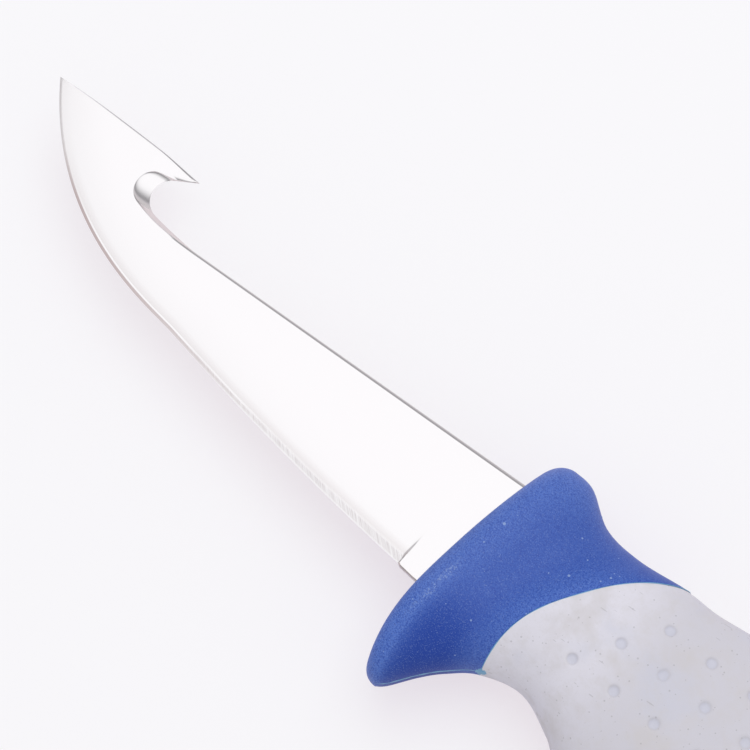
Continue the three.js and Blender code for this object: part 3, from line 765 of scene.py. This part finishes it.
# %% Dimple places
DIMPLE_STEP = 7.9
DIMPLE_ROW = 6.2
DIMPLE_TOP = 7.6
DIMPLE_FRONT = 10.6
DIMPLE_BACK = 8.0
DIMPLE_STAGGER = 4.85
DIMPLE_SLOPE = 0.054
dimple_plan = []
for row in range(3):
    row_front = NECK_BELLY[0] - DIMPLE_FRONT - DIMPLE_STAGGER * row
    dimple_x = np.arange(row_front, BUTT_TOP[0] + DIMPLE_BACK, -DIMPLE_STEP)
    dimple_y = DIMPLE_TOP + DIMPLE_ROW * (2 - row) + DIMPLE_SLOPE * (dimple_x[0] - dimple_x)
    dimple_plan.append(np.stack([dimple_x, dimple_y], axis=1))
dimple_plan = np.concatenate(dimple_plan)
print("each side of the grip has", len(dimple_plan), "dimples")

# %% [markdown]
# The grip takes over where the guard stops. Its dimples are real dents: every point of the grid
# near a dimple's middle sinks along its normal, deepest in the middle, with a soft rim. That needs a
# grid finer than the dimples, but no cutting, and the dents catch light from every side.

# %% Grip
DIMPLE_RADIUS = 1.15
DIMPLE_DEPTH = 0.34
NECK_STEP = 0.12
NECK_SPAN = 0.9
BUTT_LIP_START = 0.03
BUTT_LIP_AWAY = np.array([0.01, 0.0, 0.0, 0.0])
BUTT_LIP_INSET = np.array([0.02, 0.1, 0.6, 3.0])
grip_at = np.concatenate([
    GRIP_JOINT + LIP_AWAY[::-1],
    np.linspace(GRIP_JOINT + LIP_START, BUTT_JOINT - BUTT_LIP_START, 250),
    BUTT_JOINT - BUTT_LIP_AWAY,
])
grip_inset = np.concatenate([LIP_INSET[::-1], np.zeros(250), BUTT_LIP_INSET])
grip_turn = turns(280)
grip_turn = grip_turn + 0.18 * np.sin(2.0 * grip_turn)
grip_grid = skin_grid(rows_of(grip_at, grip_inset), grip_turn)
grip_normal = outward(grip_grid)


def dent(points, plan):
    """How deep each point sinks: within a dimple's radius, a soft step down to a shallow floor."""
    depth = np.zeros(points.shape[:2])
    for side in (1.0, -1.0):
        shown = points[..., 2] * side > 2.0
        spots = points[shown]
        for middle in plan:
            nearest = spots[np.argmin(np.sum((spots[:, :2] - middle) ** 2, axis=1))]
            reach = np.linalg.norm(points - nearest, axis=-1) / DIMPLE_RADIUS
            depth = np.maximum(depth, 1.0 - smoothstep(0.5, 1.0, reach))
    return depth


grip_dent = dent(grip_grid, dimple_plan)
behind_joint = 1.0 - smoothstep(GRIP_JOINT, GRIP_JOINT + NECK_SPAN, grip_at)
neck = behind_joint[:, None] * smoothstep(0.2, 0.9, np.cos(grip_turn))[None, :]
grip_grid = grip_grid - grip_normal * (DIMPLE_DEPTH * grip_dent + NECK_STEP * neck)[..., None]
grip_skin = make_piece("grip_skin", [grip_grid], 40.0, [("dent", grip_dent)])
print("the deepest dent is", (DIMPLE_DEPTH * grip_dent.max()).round(2), "mm")

# %% [markdown]
# The butt cap ends the loft with a generous rounding: a quarter circle again, this time moving back.
# It reaches a hair less far than its radius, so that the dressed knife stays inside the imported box.

# %% Butt cap
BUTT_ROUND = 7.0
BUTT_REACH = 6.96
cap_turn = np.linspace(math.pi / 2, 0.0, 16)[1:]
cap_end = np.linspace(BUTT_ROUND, 9.8, 5)[1:]
cap_rows = np.concatenate([
    rows_of(BUTT_JOINT + BUTT_LIP_AWAY[::-1], BUTT_LIP_INSET[::-1]),
    rows_of(np.linspace(BUTT_JOINT + BUTT_LIP_START, END, 40)),
    rows_of(END, BUTT_ROUND * (1.0 - np.sin(cap_turn)), -BUTT_REACH * np.cos(cap_turn)),
    rows_of(END, cap_end, -BUTT_REACH),
])
cap_grid = skin_grid(cap_rows, turns(120))
butt_skin = make_piece("butt_skin", [cap_grid], 40.0)

# %% [markdown]
# The lanyard hole goes right through the cap, and a hole is the one thing that a single grid can't
# have. So the hole's flared plug is turned as a profile, and a Boolean modifier takes it out of the
# cap; the result is kept as the mesh.

# %% Lanyard hole
HOLE = handle(END, np.array([0.0, math.pi])).mean(axis=0)[:2] + [10.0, 0.0]
hole_half = np.array([-13.0, -10.6, -9.9, -9.2, -8.4, 8.4, 9.2, 9.9, 10.6, 13.0])
hole_radius = np.array([7.2, 4.8, 4.15, 3.7, 3.5, 3.5, 3.7, 4.15, 4.8, 7.2])
hole_turn = turns(48)[None, :]
hole_grid = np.stack([
    HOLE[0] + hole_radius[:, None] * np.cos(hole_turn),
    HOLE[1] + hole_radius[:, None] * np.sin(hole_turn),
    np.broadcast_to(hole_half[:, None], (len(hole_half), 48)),
], axis=-1)
plug = make_piece("lanyard_plug", [hole_grid])


def take_out(piece, tool):
    """Cuts the tool out of the piece, keeps the cut mesh and removes the tool."""
    cut = piece.modifiers.new("cut", "BOOLEAN")
    cut.object = tool
    cut.solver = "EXACT"
    bpy.context.view_layer.update()
    cut_mesh = bpy.data.meshes.new_from_object(piece.evaluated_get(bpy.context.evaluated_depsgraph_get()))
    piece.modifiers.clear()
    piece.data = cut_mesh
    cut_mesh.set_sharp_from_angle(angle=math.radians(40.0))
    bpy.data.objects.remove(tool)


take_out(butt_skin, plug)
print("the butt cap has", len(butt_skin.data.polygons), "faces after the cut")

# %% [markdown]
# Soft plastic leaves flash where the mould's halves met and where one plastic was shot against
# another. Here a thin pale line follows the joint between blue and grey, and another runs along the
# underside of the guard. Each is a low rib on the handle's own skin: a small arch whose two feet
# lie just under the surface, with a width that wanders a little.

# %% Flash ribs
ARCH = np.linspace(-1.0, 1.0, 7)


def wander(count, seed, steps):
    """A slow random line between 0 and 1 that closes on itself: a few random waves, rescaled."""
    draw = np.random.default_rng(seed)
    angle = turns(count)[:, None] * np.arange(1, steps + 1) + draw.uniform(0.0, 2.0 * math.pi, steps)
    waves = (np.sin(angle) * draw.uniform(0.4, 1.0, steps)).sum(axis=1)
    return (waves - waves.min()) / (waves.max() - waves.min())


def rib(path_at, path_turn, side_at, side_turn, rise):
    """A rib along a path on the skin: columns arch over it, closed under the surface by a keel."""
    at = path_at[:, None] + side_at[:, None] * ARCH
    turn = path_turn[:, None] + side_turn[:, None] * ARCH
    skin = handle(at, turn)
    centre = handle(path_at, path_turn)
    inner = handle(path_at, path_turn, 1.0)
    normal = centre - inner
    normal /= np.linalg.norm(normal, axis=-1, keepdims=True)
    over = rise[:, None] * (1.0 - ARCH ** 2) - 0.03
    arch = skin + normal[:, None] * over[..., None]
    keel = centre - 0.25 * normal
    return np.concatenate([arch, keel[:, None]], axis=1)


def belly_rib(at_from, at_to, count, turn, width, rise):
    """A rib along the handle at one turn, as wide and high as said, that runs out at both its ends."""
    at = np.linspace(at_from, at_to, count)
    fade = np.sqrt(np.sin(np.linspace(0.06, math.pi - 0.06, count)))
    wide = width * (0.4 + 0.6 * wander(count, count, 9)) * fade
    high = rise * (0.3 + 0.7 * wander(count, count + 1, 7)) * fade
    return rib(at, 0.0 * at + turn, 0.0 * at, wide, high)


joint_turn = np.append(turns(400), 2.0 * math.pi)
joint_wander = wander(400, 3, 24)
joint_width = 0.008 + 0.016 * np.append(joint_wander, joint_wander[0]) ** 2
joint_rib = rib(0.0 * joint_turn + GRIP_JOINT + 0.01, joint_turn, joint_width, 0.0 * joint_turn,
                0.045 + 1.5 * joint_width)
under_rib = belly_rib(0.15, 3.97, 160, 0.968 * math.pi, width=0.035, rise=0.12)
end_blob = belly_rib(3.86, 4.17, 40, 0.97 * math.pi, width=0.16, rise=0.2)
nick = belly_rib(1.56, 1.72, 16, 0.0, width=0.05, rise=0.2)
flash = make_piece("mould_flash", [joint_rib, under_rib, end_blob, nick], 60.0)
grip_rib = belly_rib(4.05, 5.2, 60, 0.985 * math.pi, width=0.03, rise=0.1)
grip_flash = make_piece("grip_flash", [grip_rib], 60.0)

# %% [markdown]
# A finish is a tree of nodes. Building one by hand takes the same three moves each time: make a
# node, set its values, wire its inputs. One helper does all three, which keeps the trees readable.

# %% Node helper
def set_inputs(node, inputs):
    """Gives a node its inputs: a socket is wired, and anything else is set as a value."""
    for name, value in inputs.items():
        if isinstance(value, bpy.types.NodeSocket):
            node.id_data.links.new(value, node.inputs[name])
        else:
            node.inputs[name].default_value = value


def add(tree, kind, inputs=None, **settings):
    """A new node of some kind, with its settings and its inputs."""
    node = tree.nodes.new(kind)
    for name, value in settings.items():
        setattr(node, name, value)
    set_inputs(node, inputs or {})
    return node


def tree_of(*values):
    """The tree of the first socket among some values."""
    return next(value for value in values if isinstance(value, bpy.types.NodeSocket)).id_data


def new_finish(name):
    """An empty material with its tree, its surface shader and the place on the object."""
    finish = bpy.data.materials.new(name)
    finish.use_nodes = True
    tree = finish.node_tree
    shader = tree.nodes["Principled BSDF"]
    place = add(tree, "ShaderNodeTexCoord").outputs["Object"]
    return finish, tree, shader, place


def measure(tree, name):
    """One of a piece's own measures, which are stored at its points."""
    return add(tree, "ShaderNodeAttribute", attribute_name=name).outputs["Fac"]


print("the node helpers are ready")

# %% [markdown]
# Patterns are built from few kinds of node: sums and products, soft steps, noise, dots and mixes of
# colours. Each gets a helper that takes sockets or numbers and gives a socket back, so that a pattern
# reads like a formula. A socket knows which tree it is in, so these helpers need no tree.

# %% Pattern helpers
def math_node(operation, first, second=0.0):
    """One sum, difference or comparison of two values."""
    inputs = {0: first, 1: second}
    return add(tree_of(first, second), "ShaderNodeMath", inputs, operation=operation).outputs[0]


def times(first, *others):
    """The product of some values."""
    for other in others:
        first = math_node("MULTIPLY", first, other)
    return first


def dot(vector, axis):
    """How far a vector leans to an axis: their dot product."""
    inputs = {0: vector, 1: tuple(axis)}
    return add(tree_of(vector), "ShaderNodeVectorMath", inputs, operation="DOT_PRODUCT").outputs["Value"]


def ramp(value, low, high, to_low=0.0, to_high=1.0):
    """A soft step of a value between two limits."""
    inputs = {"Value": value, "From Min": low, "From Max": high, "To Min": to_low, "To Max": to_high}
    return add(tree_of(value), "ShaderNodeMapRange", inputs, interpolation_type="SMOOTHSTEP").outputs[0]


def noise(place, scale, detail=2.0, roughness=0.5):
    """Cloudy noise; the scale is in waves to the metre."""
    inputs = {"Vector": place, "Scale": scale, "Detail": detail, "Roughness": roughness}
    return add(tree_of(place), "ShaderNodeTexNoise", inputs).outputs["Fac"]


def blend(share, first, second):
    """A mix of two colours."""
    inputs = {"Factor": share, 6: first, 7: second}
    return add(tree_of(share), "ShaderNodeMix", inputs, data_type="RGBA").outputs[2]


def layered(colour, *layers):
    """A colour under layers, each of them a share and a colour, laid on in turn."""
    for share, over in layers:
        colour = blend(share, colour, over)
    return colour


def bump(height, strength, distance):
    """A bump normal from a height."""
    inputs = {"Height": height, "Strength": strength, "Distance": distance}
    return add(tree_of(height), "ShaderNodeBump", inputs).outputs["Normal"]


def specks(place, scale, size, share):
    """Scattered dots: cells of a Voronoi pattern, kept by chance and trimmed to a small radius."""
    cell = add(tree_of(place), "ShaderNodeTexVoronoi", {"Vector": place, "Scale": scale})
    chance = add(tree_of(place), "ShaderNodeSeparateColor", {"Color": cell.outputs["Color"]})
    kept = math_node("LESS_THAN", chance.outputs[0], share)
    radius = times(chance.outputs[1], size)
    return times(kept, math_node("LESS_THAN", cell.outputs["Distance"], radius))


print("the pattern helpers are ready")

# %% [markdown]
# The steel is bright and satin. Its grind leaves fine lines across the edge, a little aslant, which
# show most on the bevel, where the stone was coarser. Light is painted into the steel's colour too: a
# painted reflection makes the bevel darker and pinker towards the point, a band of painted shade lies
# just past the bevel, thin painted highlights run along its shoulder and the very edge, and a painted
# reflection of the floor tints the ricasso's underside. The blade carries its own measures for that:
# how far along the edge a point lies, how far from it, whether it is on the bevel and how far past it.

# %% Steel finish
STEEL = (0.675, 0.66, 0.667, 1.0)
STEEL_SCORED = (0.51, 0.48, 0.485, 1.0)
# The next four colours are painted light: two painted reflections, a painted shade and a painted
# highlight.
STEEL_BEVEL_REFLECTION = (0.42, 0.352, 0.35, 1.0)
STEEL_FLOOR_REFLECTION = (0.67, 0.61, 0.59, 1.0)
STEEL_SHADE = (0.595, 0.57, 0.572, 1.0)
STEEL_HIGHLIGHT = (0.72, 0.71, 0.715, 1.0)
LINES_PER_MM = 11.0
LINE_LEAN = 1.4
steel, tree, shader, place = new_finish("satin_steel")
edge_run = measure(tree, "edge_run")
edge_gap = measure(tree, "edge_distance")
edge_bevel = measure(tree, "edge_bevel")
past_bevel = measure(tree, "past_bevel")
off_bevel = math_node("SUBTRACT", 1.0, edge_bevel)
line_run = math_node("SUBTRACT", edge_run, times(edge_gap, LINE_LEAN))
across_edge = add(tree, "ShaderNodeCombineXYZ", {
    "X": times(line_run, LINES_PER_MM),
    "Y": times(edge_gap, 0.35),
}).outputs[0]
stone_lines = noise(across_edge, 1.0, 1.0, 0.6)
polish_lines = noise(across_edge, 2.0, 2.0, 0.6)
scored = times(ramp(stone_lines, 0.45, 0.6), edge_bevel)
# Painted reflection: the bevel grows darker and pinker towards the point.
bevel_reflection = times(ramp(edge_run, 42.0, 92.0), ramp(edge_run, 97.0, 112.0, 1.0, 0.1), edge_bevel)
shade = times(ramp(past_bevel, 0.05, 1.9, 0.9, 0.0), off_bevel, ramp(edge_run, 92.0, 112.0, 1.0, 0.2))
# Painted highlights: a thin bright line along the bevel's shoulder, and one along the very edge near the
# heel.
shoulder_line_highlight = times(ramp(past_bevel, 0.12, 0.34, 1.0, 0.0),
                 ramp(edge_run, 44.0, 58.0), ramp(edge_run, 90.0, 104.0, 1.0, 0.0))
shoulder_highlight = times(math_node("ADD", edge_bevel, shoulder_line_highlight), off_bevel)
edge_highlight = times(ramp(edge_gap, 0.06, 0.2, 1.0, 0.0), edge_bevel, ramp(edge_run, 50.0, 80.0, 1.0, 0.0))
# Painted reflection of the shaded floor, pinkish and darker, on the ricasso's underside.
ricasso_floor_reflection = times(ramp(edge_gap, 0.1, 0.25, 1.0, 0.0), off_bevel)
line_depth = math_node("ADD", times(polish_lines, 0.15), times(stone_lines, edge_bevel))
set_inputs(shader, {
    "Base Color": layered(
        STEEL, (scored, STEEL_SCORED), (bevel_reflection, STEEL_BEVEL_REFLECTION), (shade, STEEL_SHADE),
        (math_node("MAXIMUM", edge_highlight, shoulder_highlight), STEEL_HIGHLIGHT), (ricasso_floor_reflection, STEEL_FLOOR_REFLECTION)),
    "Metallic": 1.0,
    "Roughness": math_node("ADD", ramp(polish_lines, 0.2, 0.8, 0.15, 0.2), times(edge_bevel, 0.12)),
    "Normal": bump(line_depth, 0.1, 0.00002),
})
print("steel:", len(tree.nodes), "nodes")

# %% [markdown]
# The blue is a soft plastic with a fine moulded grain and some white dust. Light is painted into its
# colour as well: painted shade makes the lower lobe deeper blue, and painted light makes the front rim,
# the thumb lobe and the top near the joint paler. Grain is noise in colour and bump alike, and the dust
# is a sparse pattern of dots.

# %% Blue finish
BLUE = (0.033, 0.092, 0.4, 1.0)
BLUE_PALE = (0.08, 0.165, 0.53, 1.0)
BLUE_DEEP = (0.008, 0.042, 0.3, 1.0)
DUST = (0.31, 0.42, 0.67, 1.0)
SCUFF_FROM = np.array([0.2, 16.0, 9.0])
SCUFF_TO = np.array([2.7, 31.0, 9.0])


def streak(place, start, stop, half_width):
    """A soft band along a line in plan: 1 on the line, 0 beyond its ends and half its width."""
    run = to_row(stop) - to_row(start)
    aside = np.array([-run[1], run[0], 0.0]) / np.linalg.norm(run) / (half_width * MM)
    inputs = {0: place, 1: tuple(to_row(start))}
    away = add(tree_of(place), "ShaderNodeVectorMath", inputs, operation="SUBTRACT").outputs[0]
    along = dot(away, run / (run @ run))
    off = math_node("ABSOLUTE", dot(away, aside))
    return times(ramp(along, 0.0, 0.25), ramp(along, 0.45, 1.0, 1.0, 0.0), ramp(off, 0.2, 1.0, 1.0, 0.0))


def blue_finish(name):
    """Blue moulded plastic: paler clouds, painted shade low down, painted light on thumb, joint and rim,
    then grain, dust, a scuff and dots.
    """
    finish, tree, shader, place = new_finish(name)
    station = measure(tree, "station")
    ahead = measure(tree, "ahead")
    height = add(tree, "ShaderNodeSeparateXYZ", {"Vector": place}).outputs["Y"]
    grain = noise(place, 4200.0, 2.0, 0.6)
    cloud = noise(place, 70.0, 3.0)
    fleck = noise(place, 5200.0, 2.0, 0.7)
    # Painted shade darkens the lower lobe.
    shaded_lower_lobe = ramp(height, 0.003, 0.016)
    # Painted light makes the thumb lobe, the top near the joint and the front rim paler.
    thumb_painted_light = times(ramp(height, -0.01, -0.018, 0.0, 0.5), ramp(station, 1.0, 2.6, 1.0, 0.0))
    joint_painted_light = times(ramp(station, 2.6, 4.0, 0.0, 0.75), ramp(height, -0.014, -0.004))
    rim_painted_light = times(ramp(station, 0.0, 1.7, 1.0, 0.0), ramp(ahead, -0.3, 3.0, 0.5, 1.0))
    low_rim_painted_light = times(shaded_lower_lobe, ramp(station, 0.0, 0.9, 0.4, 0.0))
    scuff = times(streak(place, SCUFF_FROM, SCUFF_TO, 0.9),
                  ramp(specks(place, 3600.0, 0.8, 0.7), 0.0, 1.0, 0.05, 0.45))
    tone = layered(
        BLUE,
        (ramp(cloud, 0.35, 0.8, 0.0, 0.3), BLUE_PALE),
        # Painted shade on the lower lobe.
        (times(shaded_lower_lobe, 0.85), BLUE_DEEP),
        # Painted light on the thumb, near the joint and along the front rim.
        (thumb_painted_light, BLUE_PALE),
        (joint_painted_light, BLUE_PALE),
        (math_node("ADD", rim_painted_light, low_rim_painted_light), BLUE_PALE),
        (ramp(grain, 0.38, 0.56, 0.65, 0.0), BLUE_DEEP),
        (ramp(fleck, 0.54, 0.68, 0.0, 0.24), DUST),
        (scuff, DUST),
        (times(specks(place, 1100.0, 0.3, 0.1), 0.6), DUST))
    set_inputs(shader, {
        "Base Color": tone,
        "Roughness": 0.5,
        "Specular IOR Level": math_node("MINIMUM", ramp(shaded_lower_lobe, 0.0, 1.0, 0.5, 0.25),
                                        ramp(station, 2.2, 3.8, 0.5, 0.25)),
        "Normal": bump(grain, 0.3, 0.00006),
    })
    return finish


blue = blue_finish("blue_plastic")
print("blue:", len(blue.node_tree.nodes), "nodes")

# %% [markdown]
# The grey is the same kind of plastic, but pale, so it shows every mark: soft warm smudges, dark
# specks and short hairline scratches that run with the handle. Painted shade darkens the grip towards
# the butt, and each dimple gets a painted shaded ring at its rim and a bluer floor, placed by the
# grip's own measure of its dents.

# %% Grey finish
GREY = (0.695, 0.68, 0.755, 1.0)
# Painted shade: a darker ring for the dimples' rims, and a darker grey towards the butt.
DIMPLE_RIM_SHADE = (0.42, 0.41, 0.44, 1.0)
GREY_SHADED_BUTT = (0.585, 0.572, 0.635, 1.0)
SMUDGE = (0.57, 0.545, 0.565, 1.0)
COOL = (0.56, 0.565, 0.66, 1.0)
DIRT = (0.2, 0.19, 0.2, 1.0)
grey, tree, shader, place = new_finish("grey_plastic")
grain = noise(place, 2600.0, 2.0, 0.6)
cloud = noise(place, 80.0, 4.0, 0.6)
moved = add(tree, "ShaderNodeMapping", {"Vector": place, "Location": (3.0, 1.0, 2.0)}).outputs[0]
along = add(tree, "ShaderNodeSeparateXYZ", {"Vector": place}).outputs["X"]
hair_place = add(tree, "ShaderNodeMapping", {
    "Vector": place, "Rotation": (0.0, 0.0, math.radians(12.0)), "Scale": (0.12, 1.0, 1.0)}).outputs[0]
hairs = times(specks(hair_place, 1500.0, 0.18, 0.4), 0.28)
dots = times(specks(place, 2200.0, 0.36, 0.12), 0.32)
large = times(specks(place, 420.0, 0.18, 0.08), 0.3)
dent_depth = measure(tree, "dent")
# Painted shade on the sloping rim of each dimple.
dimple_rim_shade_mask = times(ramp(dent_depth, 0.05, 0.4, 0.0, 0.2), ramp(dent_depth, 0.5, 0.95, 1.0, 0.0))
tone = layered(
    GREY,
    # Painted shade: the grip darkens towards the butt.
    (ramp(along, -0.011, -0.024, 0.0, 1.0), GREY_SHADED_BUTT),
    (ramp(cloud, 0.48, 0.7, 0.0, 0.85), SMUDGE),
    (ramp(noise(moved, 95.0, 4.0), 0.5, 0.7, 0.0, 0.6), COOL),
    (ramp(noise(place, 300.0, 4.0, 0.65), 0.45, 0.72, 0.0, 0.4), SMUDGE),
    (ramp(grain, 0.52, 0.75, 0.0, 0.25), SMUDGE),
    (math_node("MAXIMUM", math_node("MAXIMUM", hairs, dots), large), DIRT),
    (ramp(dent_depth, 0.2, 0.9, 0.0, 0.75), COOL),
    # Painted shade at the dimples' rims.
    (dimple_rim_shade_mask, DIMPLE_RIM_SHADE))
set_inputs(shader, {
    "Base Color": tone, "Roughness": 0.55, "Specular IOR Level": 0.5,
    "Normal": bump(grain, 0.2, 0.00005),
})
print("grey:", len(tree.nodes), "nodes")

# %% [markdown]
# Flash is thin, so light comes through it and the blue looks pale cyan. The core is a plain dark
# plastic that shows only inside the lanyard hole.

# %% Flash and core finishes
FLASH_THICK, FLASH_THIN = (0.06, 0.25, 0.48, 1.0), (0.22, 0.47, 0.64, 1.0)
CORE_DARK, CORE_PALE = (0.02, 0.021, 0.024, 1.0), (0.035, 0.037, 0.042, 1.0)


def plain_finish(name, scale, first, second, roughness):
    """A plain plastic whose colour wanders between two tones."""
    finish, tree, shader, place = new_finish(name)
    tone = blend(noise(place, scale, 2.0), first, second)
    set_inputs(shader, {"Base Color": tone, "Roughness": roughness})
    return finish


pale = plain_finish("pale_flash", 900.0, FLASH_THICK, FLASH_THIN, 0.45)
core_finish = plain_finish("core_plastic", 1500.0, CORE_DARK, CORE_PALE, 0.5)
for piece, finish in ((blade, steel), (guard_skin, blue), (butt_skin, blue), (grip_skin, grey),
                      (flash, pale), (grip_flash, grey), (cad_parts["handle_core"], core_finish)):
    piece.data.materials.clear()
    piece.data.materials.append(finish)
print("every piece has its finish")

# %% [markdown]
# The studio is a white floor in a room that is bright overhead and towards the camera, and dim low
# down at the back. The steel mirrors that room: its flat shows the bright part, while polished
# corners and the hook's leaning wall show the dim part, which draws their grey lines. So the room is
# a world whose brightness follows the direction. For matt surfaces the room is even and dimmer.

# %% Room
ROOM_AXIS = UP - 0.3 * AWAY
LEFT_BACK = 0.6 * AWAY - 0.8 * RIGHT
AMBIENT = 0.66
world = bpy.data.worlds.new("studio")
world.use_nodes = True
bpy.context.scene.world = world
tree = world.node_tree
heading = add(tree, "ShaderNodeTexCoord").outputs["Generated"]
lean = dot(heading, ROOM_AXIS)
overhead = math_node("ADD", ramp(lean, 0.14, 0.34, 0.87, 0.43), ramp(lean, 0.38, 0.74, 0.0, 1.05))
room = times(overhead, ramp(dot(heading, RIGHT), -0.5, -0.05, 0.92, 1.0),
             ramp(dot(heading, -AWAY), 0.8, 0.97, 1.0, 0.6))
room = math_node("MAXIMUM", room, ramp(dot(heading, LEFT_BACK), 0.6, 0.85, 0.0, 0.84))
mirrored = add(tree, "ShaderNodeLightPath").outputs["Is Glossy Ray"]
room = add(tree, "ShaderNodeCombineColor", {
    "Red": room,
    "Green": times(room, ramp(lean, 0.0, 0.7, 0.955, 1.0)),
    "Blue": times(room, ramp(lean, 0.0, 0.3, 0.96, 1.01)),
}).outputs[0]
set_inputs(tree.nodes["Background"], {
    "Color": blend(mirrored, (AMBIENT, AMBIENT, AMBIENT, 1.0), room), "Strength": 1.0})
print("the room has", len(tree.nodes), "nodes")

# %% [markdown]
# A soft lamp overhead does most of the modelling on matt surfaces and throws the shadow. An area lamp
# is chosen because its size sets how soft the shadow gets. The steel doesn't mirror it, since the room
# already gives the steel its reflections.

# %% Softbox
LAMP_SIZE = 0.9
LAMP_WATTS = 4.5
lamp = bpy.data.objects.new("softbox", bpy.data.lights.new("softbox", "AREA"))
lamp.data.shape = "SQUARE"
lamp.data.size = LAMP_SIZE
lamp.data.energy = LAMP_WATTS
lamp.visible_glossy = False
lamp_place = to_row(AIM) + 0.95 * (0.3 * AWAY + 0.12 * RIGHT + 0.95 * UP)
aim_from(lamp, lamp_place, to_row(AIM))
bpy.context.scene.collection.objects.link(lamp)
print("the lamp stands", np.linalg.norm(lamp_place - to_row(AIM)).round(2), "m from the knife")

# %% [markdown]
# The floor is a sheet of white paper. Lit plainly it would come out grey, and more light would bleach
# the knife. So the paper glows for the rays that look at it, from the camera or a mirror, and under
# the glow it has a darker colour that still takes the knife's shadow.

# %% Floor
FLOOR_SPAN = 1.6
PAPER = (0.9, 0.885, 0.905, 1.0)
PAPER_SHADED = (0.25, 0.31, 0.29, 1.0)
PAPER_GLOW = (0.69, 0.62, 0.665, 1.0)
PAPER_MIRRORED = (0.9, 0.825, 0.84, 1.0)
floor_mesh = bpy.data.meshes.new("floor")
floor_corners = [(-FLOOR_SPAN, -FLOOR_SPAN, 0), (FLOOR_SPAN, -FLOOR_SPAN, 0),
                 (FLOOR_SPAN, FLOOR_SPAN, 0), (-FLOOR_SPAN, FLOOR_SPAN, 0)]
floor_mesh.from_pydata(floor_corners, [], [(0, 1, 2, 3)])
floor = bpy.data.objects.new("floor", floor_mesh)
bpy.context.scene.collection.objects.link(floor)
paper, tree, shader, place = new_finish("white_paper")
ray_kind = add(tree, "ShaderNodeLightPath").outputs
mirrored = times(ray_kind["Is Glossy Ray"], 0.15)
shown = math_node("MAXIMUM", ray_kind["Is Camera Ray"],
                  math_node("MAXIMUM", mirrored, ray_kind["Is Transmission Ray"]))
set_inputs(shader, {
    "Base Color": layered(PAPER, (shown, PAPER_SHADED), (ray_kind["Is Glossy Ray"], PAPER_MIRRORED)),
    "Emission Color": PAPER_GLOW, "Emission Strength": shown,
    "Roughness": 0.9, "Specular IOR Level": 0.0,
})
floor.data.materials.append(paper)
print("the floor is", 2 * FLOOR_SPAN, "m wide")

# %% [markdown]
# Last, each piece is tied to the imported knife: it rides on the knife's root, and the solid it
# stands for is hidden.

# %% Tie the pieces to the imported knife
for piece, node, slot in ((blade, "blade", "blade_steel"), (guard_skin, "guard", "blue_rubber"),
                          (grip_skin, "grip", "grey_rubber"), (butt_skin, "butt_cap", "blue_rubber")):
    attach(piece, "root")
    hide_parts(node)
for piece, slot in ((flash, "blue_rubber"), (grip_flash, "grey_rubber")):
    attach(piece, "root")
